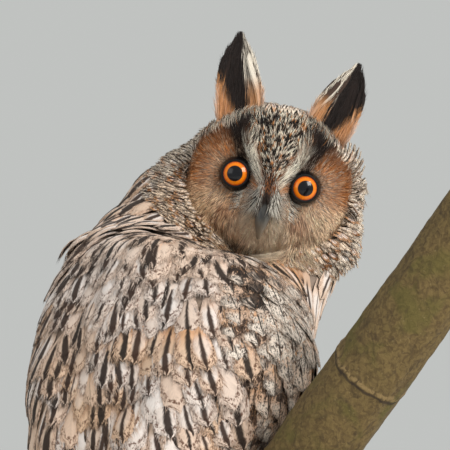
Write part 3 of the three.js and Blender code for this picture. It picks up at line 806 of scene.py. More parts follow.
def bake_cells(piece, roots, place):
    """Gives each vane a cell of its own on the bake map, in the order of the roots on the skin."""
    count = len(roots)
    rows = math.ceil(math.sqrt(count))
    spot = skin_map(roots)
    order = np.argsort(spot[:, 1])
    row = np.empty(count, int)
    column = np.empty(count, int)
    for start in range(0, count, rows):
        line = order[start : start + rows]
        row[line] = start // rows
        column[line[np.argsort(spot[line, 0])]] = np.arange(len(line))
    corner = np.stack([column, row], -1)[:, None, None] / rows
    inside = np.stack([place[..., 0] * 0.42 + 0.5, place[..., 1] * 0.84 + 0.08], -1) / rows
    keep_bake_map(piece, (corner + inside).reshape(-1, 2))


BAKE_PATCH = 0.003


# The look of barbs is a soft sheen over the colour that each one carries.
barb_look = Look("barbs", 0.8, Sheen_Weight=0.04, Specular_IOR_Level=0.2)
barb_look.colour(barb_look.attribute("tint"))


def barbs(name, lines, outs, width, colours, roots, bent=True):
    """Closed thin spines of three sides. Lines hold root, middle and tip, with a colour at each.
    A spine that isn't bent runs straight from its root to its tip."""
    ways = unit(lines[:, 2] - lines[:, 0])
    outs = flattened(outs, ways)
    sides = np.cross(ways, outs)
    corner = [-sides * width, sides * width, outs * width * 0.7]
    steps = ((0, 1.0), (1, 0.72))[: 1 + bent]
    ring = [lines[:, step] + offset * taper for step, taper in steps for offset in corner]
    points = np.stack([*ring, lines[:, 2]], 1)
    triangles = [[0, 3, 1], [1, 3, 2], [2, 3, 0], [0, 1, 2]]
    tone_steps = [0, 0, 0, 2]
    patch = [[0, 0], [1, 0], [0.5, 0], [0.5, 1]]
    if bent:
        triangles = [[0, 4, 1], [0, 3, 4], [1, 5, 2], [1, 4, 5], [2, 3, 0], [2, 5, 3]]
        triangles += [[3, 6, 4], [4, 6, 5], [5, 6, 3], [0, 1, 2]]
        tone_steps = [0, 0, 0, 1, 1, 1, 2]
        patch = [[0, 0], [1, 0], [0.5, 0], [0, 0.5], [1, 0.5], [0.5, 0.5], [0.5, 1]]
    first = np.arange(len(lines))[:, None, None] * points.shape[1]
    piece = raw_mesh(name, points.reshape(-1, 3), (first + np.array(triangles)).reshape(-1, 3))
    keep_colour(piece, "tint", np.clip(colours, 0, 1)[:, tone_steps].reshape(-1, 3))
    keep_bake_map(piece, (skin_map(roots)[:, None] + np.array(patch) * BAKE_PATCH).reshape(-1, 2))
    finish(piece, barb_look, smooth=False)


def layered(colour, *layers):
    """A colour with others laid over it in turn, each by its amount of 0 to 1 at each point."""
    for other, amount in layers:
        colour = mixed(colour, other, np.asarray(amount)[..., None])
    return colour


PATCH_EDGE = 1.1


def seen_patch(points, x, z, wide, high):
    """1 at a place seen from the camera, in mm, falling to 0 beyond the patch's half sizes."""
    seen = points / MM
    return bump_at(np.hypot((seen[:, 0] - x) / wide, (seen[:, 2] - z) / high), PATCH_EDGE)


# where the plumage is warmest, as the middle and size of each patch seen from the camera
WARM_PATCHES = (
    (-41, 215, 9, 7),
    (10, 236, 10, 12),
    (-6, 215, 8, 5),
    (-65, 200, 5, 13),
    (-57, 234, 9, 6),
    (-52, 150, 6, 14),
)
UNDER_NECK = (-24, 257, 22, 13)
# a painted shade: brown laid over the plumage under the chin on the right, where it lies in shadow, as the
# middle and size of the patch seen from the camera
PAINTED_SHADE_PATCH = (46, 229, 8, 14)


def body_ground(points):
    """Pale ground colour of the plumage, with a painted shade under the chin, and the buff of its bases, by
    place on the body.
    """
    place, turn = body_places(points)
    turned = abs(turn)
    warm = smooth(lumps(points, 22 * MM, 5), 0.0, 0.45)
    for patch in WARM_PATCHES:
        warm = np.maximum(warm, seen_patch(points, *patch))
    beside_neck = smooth(points[:, 0] / MM, 48, 56) * smooth(points[:, 2] / MM, 205, 225)
    ground = layered(
        ASH,
        (CREAM, 0.25 + 0.75 * warm),
        (SNOW, 0.7 * smooth(lumps(points, 14 * MM, 11), -0.1, 0.35) * (1 - warm)),
        (CREAM, smooth(place, 56, 84) * smooth(turned, 130, 90) * 0.55),
        (SNOW, bump_at(place - 50, 24) * smooth(turned, 80, 50) * 0.4),
        (mixed(CREAM, SNOW, 0.5), seen_patch(points, *UNDER_NECK) * 0.6),
        (mixed(CREAM, BUFF, 0.15), smooth(turned, 95, 130) * 0.85),
        (mixed(CREAM, SNOW, 0.4), beside_neck * 0.8),
        # painted shade under the chin on the right
        (BARK_BROWN, seen_patch(points, *PAINTED_SHADE_PATCH) * 0.5),
    )
    return ground, np.clip(warm * (1 - beside_neck), 0, 1)


STREAK_START = 0.2
MARGIN = 0.8
# where the streaks are thinner, as the middle and size of each patch seen from the camera, and
# how much of their width they lose
PALE_PATCHES = ((62, 226, 14, 22, 0.5), (-24, 258, 20, 11, 0.2), (-76, 247, 8, 12, 0.8))


def plume_colour(across, along, ground, buff, streak, bars, scallop, chance):
    """The colour of a contour feather, for the barbs. The vanes' material says the same."""
    side = abs(across)
    edge = streak * (0.55 + 0.55 * along)
    on_streak = smooth(side, edge + 0.12, edge - 0.1) * smooth(along, STREAK_START, STREAK_START + 0.2)
    on_streak = on_streak * smooth(streak, 0.02, 0.08)
    from_heart = np.hypot(across * 0.82, (along - 0.46) / 0.5)
    margin = bump_at(from_heart - MARGIN, 0.06) * smooth(along, 0.45, 0.6) * scallop
    satin = smooth(from_heart, 0.8, 0.55) * smooth(along, 0.3, 0.5) * (1 - 0.5 * buff)
    spotted = rng.random(len(side)) < 0.55
    wave = np.sin(2 * math.pi * (along * 3.2 - side * 0.5 + chance))
    return layered(
        ground,
        (BUFF, buff * smooth(along, 0.8, 0.3) * 0.8),
        (SNOW, satin * smooth(chance, 0.3, 0.6) * 0.75),
        (BARK_BROWN, margin * spotted * 0.85),
        (BARK_BROWN, smooth(wave, 0.45, 0.95) * bars * smooth(side, 0.15, 0.5) * 0.7),
        (layered(STREAK, (BARK_BROWN, chance * 0.35)), on_streak * 0.96),
    )


def barb_run(paths, halves, which, start, swing, long, span, rise_at, tone_at):
    """Barbs that leave their feathers' lines at a swing: their points, way out and colours."""
    rows, outs, tones = [], [], []
    for part in (0, 0.5, 1):
        along = start[0] + part * long * np.cos(swing) / span
        aside = start[1] + part * long * np.sin(swing)
        point, out = paths.at(which, along, aside, rise_at(part))
        rows.append(point)
        outs.append(out)
        tones.append(tone_at(np.clip(aside / halves[which], -1, 1), np.clip(along, 0, 1)))
    return np.stack(rows, 1), outs[0], np.stack(tones, 1)


BLACK = (0, 0, 0)
plume_look = Look("contour_feathers", 0.75, Sheen_Weight=0.04, Specular_IOR_Level=0.25)
across, along, chance = plume_look.numbers("vane")
streak, bars, scallop = plume_look.numbers("marks")
buff = plume_look.numbers("buff")[0]
wobble = plume_look.noise(plume_look.vector(across, along * 3, chance * 37), 2.4, 3) - 0.5
even_side = abs(across)
barb_grooves = plume_look.noise(plume_look.vector(along * 42 - even_side * 11, across * 1.5, chance * 11), 1.6, 2)
side = abs(across + wobble * 0.2) + (barb_grooves - 0.5) * 0.26
edge = streak * (along * 0.55 + 0.55)
on_streak = (side - edge).smooth(0.12, -0.1) * along.smooth(STREAK_START, STREAK_START + 0.2)
on_streak = on_streak * streak.smooth(0.02, 0.08)
heart_across, heart_along = across * 0.82, (along - 0.46) * 2
from_heart = (heart_across * heart_across + heart_along * heart_along).calc("SQRT") + wobble * 0.22
margin = abs(from_heart - MARGIN).smooth(0.085, 0.02) * along.smooth(0.45, 0.6) * scallop
fleck = plume_look.noise(plume_look.vector(across * 1.6, along * 5, chance * 61), 4.4, 2, 0.8)
satin = from_heart.smooth(0.8, 0.55) * along.smooth(0.3, 0.5) * (1 - buff * 0.5)
wave = ((along * 3.2 - side * 0.5 + chance + wobble * 0.7) * (2 * math.pi)).calc("SINE")
plume_look.colour(
    plume_look.attribute("ground"),
    (BUFF, buff * along.smooth(0.8, 0.3) * 0.8),
    (SNOW, satin * chance.smooth(0.3, 0.6) * 0.75),
    (BARK_BROWN, margin * fleck.smooth(0.44, 0.52) * 0.8),
    (BARK_BROWN, fleck.smooth(0.54, 0.59) * scallop * from_heart.smooth(0.62, 0.92) * 0.85),
    (BARK_BROWN, wave.smooth(0.45, 0.95) * bars * even_side.smooth(0.15, 0.5) * 0.7),
    (plume_look.layered(STREAK, (BARK_BROWN, chance * 0.35)), on_streak * 0.97),
    # painted shade in the grooves between barbs, where the bump sinks
    (BLACK, barb_grooves.smooth(0.5, 0.3) * 0.16),
)
plume_look.bump(barb_grooves - even_side.smooth(0.0, 0.06) * 0.4, 0.0003, 0.5)

TRUNK_LOW = -112
NECK_HIGH = 140
NAPE_LOW = 66
OVER_WING = 3.2 * MM


def mantle_edge(place):
    """The turn, in degrees, where the mantle's long feathers end over the wing."""
    return 54 - 0.2 * place


def on_trunk(points):
    """Where the trunk and neck bear contour feathers, and not the head, legs and feet."""
    place, _ = body_places(points)
    head = to_head(points)
    _, y, z = head.T
    off_head = (np.linalg.norm(head / [50, 56, 50], axis=-1) > 1) | ((z < -34) & (y > -8)) | (z < -38)
    low = (points[:, 2] > 118 * MM) | (abs(place + 60) < 60)
    return (place > TRUNK_LOW) & (place < NECK_HIGH) & off_head & low


def loft(points, head=0.0):
    """How much higher the deep soft plumage stands on the left nape and side of the head, and on
    the head's crown and right side for the given share."""
    place, turn = body_places(points)
    x, y, z = to_head(points).T
    nape = smooth(place, 62, 84) * smooth(turn, -8, -34) * smooth(turn, -175, -140)
    left = smooth(x, -12, -34) * smooth(z, 34, 20) * smooth(y, -16, -4)
    right = smooth(x, 24, 38) * smooth(z, 30, 18) * smooth(z, -40, -24) * smooth(y, -20, -8) * head
    crown = smooth(abs(x), 22, 12) * smooth(z, 24, 36) * head
    shoulder = bump_at(place - 80, 26) * smooth(turn, -12, -40) * smooth(turn, -150, -110)
    return (np.maximum(nape, left) * 5.0 + right * 11.0 + crown * 2.5 + shoulder * 3.5) * MM


def over_vanes(piece, values):
    """The values of each vane, repeated for all its points."""
    return np.repeat(values, len(piece.data.vertices) // len(values), 0)


def dress_plumes(
    name, piece, paths, halves, per_feather, grounds, buff, marks, length=3.6 * MM, width=0.13 * MM
):
    """Keeps what the material of contour feathers reads, and dresses them with barbs, over the
    vanes and past their edges, coloured as the vane is where they root."""
    keep_colour(piece, "ground", over_vanes(piece, grounds[0]))
    keep_vector(piece, "marks", over_vanes(piece, np.stack(marks, -1)))
    keep_vector(piece, "buff", over_vanes(piece, buff[:, None] * [1, 0, 0]))
    finish(piece, plume_look)
    count = len(halves)
    total = count * per_feather
    which = np.repeat(np.arange(count), per_feather)
    share = rng.uniform(0.3, 0.98, total) ** 0.8
    across = rng.uniform(-1, 1, total)
    start = (share, across * (halves[which] * leaf(share)))
    height = 0.3 * MM - 0.5 * MM * across**2
    swing = rng.normal(0.36, 0.14, total) * np.sign(across) * (0.3 + 0.7 * abs(across))
    long = length * rng.uniform(0.6, 1.3, total)
    span = np.linalg.norm(paths.lines[:, -1] - paths.lines[:, 0], axis=-1)[which]
    chance = rng.random(count)[which]
    shine = rng.normal(1, 0.1, (total, 1, 1))
    marked = [value[which] for value in (*grounds, *marks)]

    def rise_at(part):
        return height + 0.3 * MM * part * (1 - 0.5 * part) - 0.35 * MM * part

    def tone_at(across, along):
        return plume_colour(across, along, *marked, chance)

    rows, outs, tones = barb_run(paths, halves, which, start, swing, long, span, rise_at, tone_at)
    roots = paths.lines[which, 0]
    barbs(f"{name}_barbs", rows, outs, width, tones * shine, roots, bent=False)


PLUME_RISE = 3.4 * MM
TRACTS = (
    # name, spacing, length, half width, turns and places between which the feathers root, how
    # broad the streak is, how strong the bars and the margin are, and the barbs on a feather
    ("nape", 6.4, 27, 5.4, (-105, 115, NAPE_LOW - 4, 140), (0.46, 0.1, 0.4), 200),
    ("left_mantle", 6.6, 31, 5.4, (-75, 4, -80, NAPE_LOW + 4), (0.36, 0.1, 0.9), 150),
    ("right_mantle", 7.8, 33, 7.2, (-3, 75, -85, NAPE_LOW + 6), (0.24, 0.2, 1.0), 180),
    ("rump", 11, 28, 8, (-45, 45, -112, -70), (0.15, 0.3, 0.5), 50),
    ("breast", 8.2, 31, 6.6, (100, 266, -112, 140), (0.3, 0.1, 0.1), 90),
)


def contour_tract(name, spacing, length, half_width, region, marks, per_feather):
    """Feathers of like size over one part of the body."""
    from_turn, to_turn, from_place, to_place = region

    def where(points):
        place, turn = body_places(points)
        turn = (turn - from_turn) % 360 + from_turn
        inside = (turn < to_turn) & (place > from_place) & (place < to_place)
        on_wing = (abs(turn) > mantle_edge(place) + 3) & (abs(turn) < 106) & (place < 78)
        return on_trunk(points) & inside & ~on_wing

    roots = sow(spacing * MM, where, stretch=1.8)
    count = len(roots)
    size = rng.uniform(0.85, 1.15, count)
    place, turn = body_places(roots)
    over_wing = smooth(turn, 28, 42) * smooth(place, 40, 14) * smooth(turn, 100, 80)
    flank = smooth(turn, -28, -45) * smooth(place, 64, 36) * smooth(turn, -105, -80)
    lifts = (PLUME_RISE + OVER_WING * over_wing - 2.2 * MM * flank) * rng.uniform(0.85, 1.15, count)
    paths = Paths(roots, body_lie, length * MM * size, 7, lifts, curve=0.5, swell=loft(roots))
    halves = half_width * MM * size
    piece, _ = vanes(f"{name}_vanes", paths, halves)
    grounds = body_ground(roots)
    streak, bars, scallop = (np.full(count, mark) for mark in marks)
    pale_line = bump_at(turn + 12, 6) * smooth(place, 75, 55) * smooth(turn, 60, 30)
    streak = streak * rng.uniform(0.6, 1.3, count) * (rng.random(count) < 0.86) * (1 - pale_line)
    streak = streak * (1 + 0.2 * smooth(place, 26, 52) * smooth(abs(turn), 90, 60))
    for *patch, loss in PALE_PATCHES:
        streak = streak * (1 - loss * seen_patch(roots, *patch))
    dress_plumes(name, piece, paths, halves, per_feather, grounds, grounds[1], (streak, bars, scallop))


for tract in TRACTS:
    contour_tract(*tract)

# Wings, folded over the flanks. Stiff flight feathers lie in tiers under the greater and the
# small coverts. They are brown, barred, mottled and spotted with white near their tips.
WING_BROWN = paint(62, 42, 32)
WING_BUFF = paint(222, 168, 120)
WING_WHITE = paint(240, 226, 212)
EDGE_BARB_LENGTH = 2.6 * MM
EDGE_BARB_WIDTH = 0.13 * MM
WING_PLACES = np.arange(-176, 78, 6.0) * MM
WING_TURNS = np.arange(12, 112, 5.0)


def neighbours(grid):
    """The four values beside each one of a grid."""
    ends = np.pad(grid, 1, mode="edge")
    return np.stack([ends[:-2, 1:-1], ends[2:, 1:-1], ends[1:-1, :-2], ends[1:-1, 2:]])


def filled(grid):
    """A grid with its gaps filled from their neighbours."""
    while np.isnan(grid).any():
        around = neighbours(grid)
        known = ~np.isnan(around)
        mean = np.where(known, around, 0).sum(0) / np.maximum(known.sum(0), 1)
        grid = np.where(np.isnan(grid) & known.any(0), mean, grid)
    return grid


def eased(grid, times):
    for _ in range(times):
        grid = 0.5 * grid + 0.125 * neighbours(grid).sum(0)
    return grid


def grid_value(grid, place, turn):
    """The grid's value between its rows and columns."""
    found = []
    for value, steps in ((place, WING_PLACES), (turn, WING_TURNS)):
        scaled = np.clip((value - steps[0]) / (steps[1] - steps[0]), 0, len(steps) - 1.001)
        found.append((scaled.astype(int), scaled - scaled.astype(int)))
    (row, down), (column, along) = found
    near = mixed(grid[row, column], grid[row, column + 1], along)
    far = mixed(grid[row + 1, column], grid[row + 1, column + 1], along)
    return mixed(near, far, down)


WING_STEPS = 10
WING_TIERS = {
    # count, root places, tip places, root turns, tip turns, heights at root and tip and half
    # widths, and then the bars, the white and the length of the mottling
    "primaries": (
        (9, (-50, -34), (-126, -172), (50, 82), (27, 52), (-2.5, -0.5), (8.5, 7)),
        (5.5, 0.2, 5.0),
    ),
    "secondaries": (
        (12, (-34, -14), (-92, -112), (56, 90), (24, 68), (-2.2, 1.0), (10, 8.5)),
        (5.5, 0.2, 5.0),
    ),
    "greater_coverts": (
        (12, (-6, 4), (-54, -42), (62, 102), (54, 98), (-2.0, 1.5), (8.5, 7)),
        (1.6, 0.95, 1.5),
    ),
}


def wing_paths(side, surface, count, roots, tips, turns_from, turns_to, heights, halves):
    order = np.linspace(0, 1, count)[:, None]
    share = np.linspace(0, 1, WING_STEPS + 1)[None]
    place = mixed(mixed(*roots, order), mixed(*tips, order), share) * MM
    turn = mixed(mixed(*turns_from, order), mixed(*turns_to, order), share)
    heights = np.array(heights) - (4.5 if side < 0 else 1.0)
    over = mixed(*heights, share**0.8) + 0.9 * np.cos(order * 1.5 * math.pi * count)
    radius = grid_value(surface, place, turn) + over * MM
    radius = mixed(radius, np.minimum(radius, 24 * MM), smooth(-place / MM, 85, 135))
    outs = outward(np.radians(turn * side))
    lines = spine(place) + outs * radius[..., None]
    return Paths.through(lines, outs + AXIS * 0.15), mixed(*halves, order[:, 0]) * MM


def flight_outline(share):
    return leaf(share, widest=0.72, root=0.55)


wing_look = Look("wing_feathers", 0.75, Sheen_Weight=0.04, Specular_IOR_Level=0.25)
across, along, chance = wing_look.numbers("vane")
bars, white, mottle_length = wing_look.numbers("marks")
shade = wing_look.numbers("shade")[0]
spread = wing_look.vector(across * 0.8, along * mottle_length, chance * 29)
mottle = wing_look.noise(spread, 4.5, 4, 0.4)
fleck = wing_look.noise(spread, 11, 3, 1.2)
side = abs(across)
wave = ((along * bars + (mottle - 0.5) * 1.3 + side * 0.25 + chance) * (2 * math.pi)).calc("SINE")
white_spot = abs(across - 0.45).smooth(0.6, 0.25) * abs(along - 0.86).smooth(0.16, 0.07)
barb_grooves = wing_look.noise(wing_look.vector(along * 60 - side * 14, side, chance * 7), 2.0, 2)
wing_look.colour(
    WING_BUFF,
    (ASH, (along + mottle * 0.8).smooth(0.6, 1.2) * 0.8),
    (WING_BROWN, wave.smooth(-0.2, 0.35) * 0.92),
    (WING_BUFF, fleck.smooth(0.55, 0.62) * mottle.smooth(0.45, 0.55) * 0.55),
    (WING_WHITE, white_spot * white * mottle.smooth(0.3, 0.42)),
    (STREAK, shade.smooth(0.1, 0.7) * mottle.smooth(0.62, 0.48) * 0.9),
    (WING_WHITE, shade.smooth(-0.05, -0.6) * mottle.smooth(0.4, 0.48) * 0.95),
    (STREAK, fleck.smooth(0.48, 0.42) * 0.85),
    (STREAK, side.smooth(0.09, 0.03) * 0.85),
    # painted shade in the grooves between barbs, where the bump sinks
    (BLACK, barb_grooves.smooth(0.5, 0.3) * 0.22),
)
wing_look.bump(barb_grooves - side.smooth(0.02, 0.09) * 0.6, 0.0003, 0.6)


# where the right wing is dark, or below 0 pale, as the middle and size of each patch seen from
# the camera, in mm, and how strong it is. The third patch is a painted shade in the gap along
# the lower left edge of the right wing.
WING_SHADES = (
    (21, 227, 7, 11, 1.0),
    (20, 200, 5, 16, 0.9),
    # a painted shade in the gap along the wing's lower left edge
    (12, 165, 5, 24, 1.0),
    (34, 214, 8, 12, -1.0),
    (13, 196, 6, 8, -1.0),
    (10, 219, 7, 7, -0.8),
    (46, 196, 17, 28, -0.4),
)


def wing_shade(points):
    """How dark, or below 0 how pale, a wing feather is by its place."""
    return sum(strength * seen_patch(points, *patch) for *patch, strength in WING_SHADES)


def wing_colour(across, along, chance, bars, white, shade):
    """The colour of a wing feather, for its barbs, as the material of the vanes has it."""
    side = abs(across)
    wave = np.sin(2 * math.pi * (along * bars + side * 0.25 + chance))
    flecked = rng.random(len(along)) < 0.3
    darkened = rng.random(len(along)) < 0.68
    whitened = rng.random(len(along)) < 0.7
    spot = smooth(abs(across - 0.45), 0.6, 0.25) * smooth(abs(along - 0.86), 0.16, 0.07)
    return layered(
        WING_BUFF,
        (ASH, smooth(along, 0.35, 0.95) * 0.8),
        (WING_BROWN, smooth(wave, -0.1, 0.5) * 0.95),
        (STREAK, flecked * (0.6 - 0.3 * smooth(shade, 0, -0.5))),
        (STREAK, smooth(shade, 0.1, 0.7) * darkened * 0.9),
        (WING_WHITE, smooth(shade, -0.05, -0.6) * whitened * 0.9),
        (WING_WHITE, spot * white),
    )


def dress_stiff(name, piece, node, seeds, paths, halves, per_feather, marks, shades, outline):
    """Keeps what the material of stiff feathers reads, and sets barbs along their edges and over
    their ends."""
    count = len(seeds)
    marks = np.broadcast_to(marks, (count, 3))
    keep_vector(piece, "marks", over_vanes(piece, marks))
    keep_vector(piece, "shade", over_vanes(piece, shades[:, None] * [1, 0, 0]))
    finish(piece, wing_look)
    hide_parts(node)
    total = count * per_feather
    which = np.repeat(np.arange(count), per_feather)
    share = rng.uniform(0.15, 0.985, total) ** 0.7
    hand = rng.choice([-1, 1], total)
    across = hand * rng.uniform(0.55, 0.98, total)
    start = (share, across * (halves[which] * outline(share)))
    long = EDGE_BARB_LENGTH * rng.uniform(0.6, 1.3, total)
    span = np.linalg.norm(np.diff(paths.lines, axis=1), axis=-1).sum(1)[which]
    swing = hand * rng.normal(0.42, 0.12, total) * smooth(share, 1.02, 0.85)
    bars, white, _ = marks[which].T

    def rise_at(part):
        return np.full(total, (0.15 - 0.15 * part) * MM)

    def tone_at(across, along):
        return wing_colour(across, along, seeds[which], bars, white, shades[which])

    rows, outs, tones = barb_run(paths, halves, which, start, swing, long, span, rise_at, tone_at)
    tones = tones * rng.normal(1, 0.1, (total, 1, 1))
    roots = paths.lines[which, 0]
    barbs(f"{name}_barbs", rows, outs, EDGE_BARB_WIDTH, tones, roots, bent=False)


def covert_lie(points, normals):
    """Small wing coverts lean outward down the wing, more so on the right one."""
    place, turn = body_places(points)
    lean = np.where(turn > 0, 0.62, -0.3)[:, None] * smooth(place, -30, 10)[:, None]
    return flattened(RIGHT * lean - mixed(AXIS, UP, 0.5), normals)


def small_coverts(side_name, side):
    """Rows of small mottled coverts from the shoulder down over the roots of the greater ones."""

    def where(points):
        place, turn = body_places(points)
        edge = mantle_edge(place) - 6
        return on_trunk(points) & (turn * side > edge) & (turn * side < 112) & (place > -24) & (place < 82)

    roots = sow(8.2 * MM, where)
    count = len(roots)
    size = rng.uniform(0.85, 1.2, count)
    place, turn = body_places(roots)
    bulge = smooth(turn, 58, 84) * bump_at(place - 18, 30) * 5.0
    lifts = ((4.6 if side > 0 else 1.6) + bulge) * MM * rng.uniform(0.8, 1.2, count)
    paths = Paths(roots, covert_lie, 25 * MM * size, 7, lifts, curve=0.6)
    halves = 7 * MM * size
    name = f"{side_name}_small_coverts"
    piece, seeds = vanes(name, paths, halves, crown=0.7 * MM)
    bars, white = rng.uniform(0.8, 1.8, count), rng.uniform(0, 1, count) ** 0.7
    marks = np.stack([bars, white, np.full(count, 1.6)], -1)
    shades = wing_shade(paths.lines[:, -3])
    dress_stiff(name, piece, f"{side_name}_wing", seeds, paths, halves, 90, marks, shades, leaf)


def wing_tier(name, node, side, surface, tier, marks):
    """One tier of long feathers or greater coverts, with its barbs."""
    outline = flight_outline
    paths, halves = wing_paths(side, surface, *tier)
    piece, seeds = vanes(name, paths, halves, crown=0.7 * MM, outline=outline)
    shades = wing_shade(paths.lines[:, -3])
    dress_stiff(name, piece, node, seeds, paths, halves, 220, marks, shades, outline)


for side_name, side in (("left", -1), ("right", 1)):
    small_coverts(side_name, side)
    found = reach_grid(solid_tree(f"{side_name}_wing"), WING_PLACES, np.radians(WING_TURNS * side))
    surface = eased(filled(found), 3)
    for tier_name, (tier, marks) in WING_TIERS.items():
        wing_tier(f"{side_name}_{tier_name}", f"{side_name}_wing", side, surface, tier, marks)

# Tail. Twelve stiff barred feathers, rooted in the end of the trunk, lie fanned under the wing
# tips with the middle pair on top.
TAIL_COUNT = 12
TAIL_ROOT = -98
TAIL_TIP = -168
TAIL_MARKS = (6.0, 0.1, 5.0)
order = np.arange(TAIL_COUNT)
from_middle = (order - 5.5) / 5.5
rank = abs(order - 5.5) - 0.5
share = np.linspace(0, 1, 11)[None]
tail_place = mixed(TAIL_ROOT, TAIL_TIP + 9 * from_middle[:, None] ** 2, share)
tail_aside = mixed(15, 25, share) * from_middle[:, None]
tail_over = 6.8 - rank[:, None] * 1.25 - 0.6 * (order > 5)[:, None] - 1.5 * share
tail_lines = BODY_CENTRE + (
    AXIS * tail_place[..., None] + RIGHT * tail_aside[..., None] + DORSAL * tail_over[..., None]
) * MM
tail_paths = Paths.through(tail_lines, np.broadcast_to(DORSAL, tail_lines.shape).copy())
tail_halves = np.full(TAIL_COUNT, 9.5 * MM)
tail, seeds = vanes("tail_feathers", tail_paths, tail_halves, droop=0.3 * MM, outline=flight_outline)
tail_shades = np.zeros(TAIL_COUNT)
dress_stiff(
    "tail", tail, "tail", seeds, tail_paths, tail_halves, 240, TAIL_MARKS, tail_shades, flight_outline
)

# Face. Fine hair-like filaments radiate from each eye over the dish, rufous near it and buff
# below, with black about the eye, pale brows, a speckled wedge between them and grey bristles.
RUFOUS = paint(200, 128, 68)
FACE_BUFF = paint(242, 206, 168)
FACE_BROWN = paint(98, 56, 33)
FACE_DARK = paint(32, 24, 21)
BROW_GREY = paint(242, 234, 218)
CHIN = paint(244, 224, 200)
RIM_DARK = paint(32, 25, 22)
RIM_PALE = paint(248, 232, 212)


def spot_at(x, z, at_x, at_z, wide, high, lean=0.0):
    """1 at a place on the face, falling to 0 over the two half sizes, turned by a lean."""
    dx, dz = x - at_x, z - at_z
    u = dx * math.cos(lean) + dz * math.sin(lean)
    v = dz * math.cos(lean) - dx * math.sin(lean)
    return smooth(np.hypot(u / wide, v / high), 1.25, 0.6)


def brow_line(z):
    """Middle of the brow, aside of the head's middle, at a height."""
    return mixed(7.6, 16.6, np.clip((z - 3) / 19, -0.4, 1.5))


def peppered(chance, dark):
    """Dark, pale or buff by chance, as in the speckled feathers of the rim and forehead."""
    colour = np.where((chance < dark)[:, None], RIM_DARK, RIM_PALE)
    return np.where((chance > 0.93)[:, None], BUFF, colour)


def rim_front(z):
    """How far back, in mm, the speckled rim starts on the edge of the face at a height."""
    return mixed(-6.5, -17, smooth(z, -14, -34))


def dish_colour(x, y, z, chance):
    """Rufous and buff over the dish, browner round the outside and over the top, and paler on its lower right
    as a painted light.
    """
    side = abs(x)
    from_eye = np.hypot(side - EYE_X, z)
    patchy = lumps(np.stack([x, z, y], -1), 9.0, 8)
    halo = smooth(abs(from_eye - 13), 5, 1) * smooth(side, 19, 24) * smooth(z, 14, 6)
    top = smooth(z, 11, 23) * smooth(side, 8, 14)
    return layered(
        RUFOUS,
        (FACE_BUFF, smooth(z + 5 * patchy, -2, -18)),
        (FACE_BUFF, (chance > 0.74) * 0.5),
        (FACE_BROWN, (chance < 0.26) * smooth(from_eye, 9, 14) * 0.55),
        # painted light: the lower right of the dish made paler where the light falls on it
        (paint(255, 224, 194), smooth(x, 10, 24) * smooth(z, 0, -16) * 0.75),
        (mixed(BROW_GREY, FACE_BUFF, 0.5), halo * 0.45),
        (FACE_BROWN, smooth(face_out(x, z), 0.66, 0.9) * smooth(z, -10, 6) * 0.5),
        (FACE_BROWN, top * 0.75),
        (FACE_DARK, top * smooth(z, 18, 29) * smooth(side, 34, 22) * 0.85),
        (paint(108, 74, 52), (chance < 0.22) * smooth(z, -8, -18) * 0.65),
        (paint(150, 88, 52), spot_at(side, z, 19, -21, 8, 6) * 0.45),
    )


def face_colour(points, chance):
    """The colour of the head's feathers by place, and by chance where they are speckled."""
    x, y, z = to_head(points).T
    fine = rng.random(len(x))
    side = abs(x)
    # black about the eye, most above it and along the outer side of the brow
    from_eye = np.hypot(side - EYE_X, z)
    angle = np.degrees(np.arctan2(z, side - EYE_X))
    ring = smooth(from_eye, 11.8, 8.8) * smooth(abs(angle - 95), 110, 50)
    beside_brow = side - brow_line(z) - 5.6
    band = smooth(abs(beside_brow), 5.2, 2.6) * smooth(z, 1, 7) * smooth(z, 38, 30)
    # pale lined brows, and the speckled wedge between them
    brow_half = mixed(2.7, 3.6, smooth(z, 0, 16))
    brow = smooth(abs(side - brow_line(z)), brow_half + 0.6, brow_half - 0.4)
    brow *= smooth(z, -5, 1) * smooth(z + 0.5 * (side - brow_line(z)), 22, 19)
    lined = np.where((chance < 0.22)[:, None], paint(70, 58, 50), BROW_GREY)
    edge_line = brow_line(z) - brow_half
    wedge = smooth(side, edge_line + 0.4, edge_line - 0.5) * smooth(z, -3, 2)
    rusty = smooth(abs(side - edge_line), 1.5, 0.5) * smooth(z, 1, 6) * smooth(z, 24, 18)
    pepper = peppered(chance, 0.6)
    bridge = smooth(side, 3.4, 1.4) * smooth(z, 6, 0) * smooth(z, -12, -7)
    bristle = smooth(abs(side - 8.0), 6, 3) * smooth(z, -2, -6) * smooth(z, -24, -17)
    streaked = np.where((fine < 0.35)[:, None], paint(84, 74, 68), paint(222, 216, 206))
    # speckled rim, darkest next to the dish and palest outside it
    behind = mixed(y - rim_front(z), (face_out(x, z) - 0.97) * 60, smooth(z, 12, 26))
    rim = smooth(behind, -0.5, 1)
    right = smooth(x, 0, 20)
    dark_rim = smooth(behind, mixed(6, 4.2, right), mixed(2, 2.6, right)) * smooth(z, 26, 14) * 0.36
    beyond = smooth(behind, 3.4, 6) * smooth(x, 0, 26) * smooth(z, 26, 14) * 0.36
    crown = smooth(z, 25, 31) * smooth(side, 15.5, 11.5)
    return layered(
        dish_colour(x, y, z, chance),
        (FACE_DARK, ring * 0.95),
        (FACE_DARK, smooth(from_eye, 7.9, 7.2) * 0.7),
        (FACE_DARK, band * 0.95),
        (FACE_DARK, spot_at(side, z, 20, 28, 13, 7.5, -0.3) * 0.8),
        (lined, brow * 0.97),
        (pepper, wedge),
        (paint(140, 88, 54), rusty * (fine < 0.6) * 0.8),
        (paint(50, 31, 24), bridge * 0.92),
        (streaked, bristle * 0.85),
        (CHIN, spot_at(x, z, 0.5, -30, 17, 13) * 0.9),
        (peppered(chance, 0.36 + dark_rim - beyond), rim),
        (pepper, crown * (1 - rim)),
        (mixed(peppered(chance, 0.36), body_ground(points)[0], 0.4), smooth(y, 6, 20)),
    )


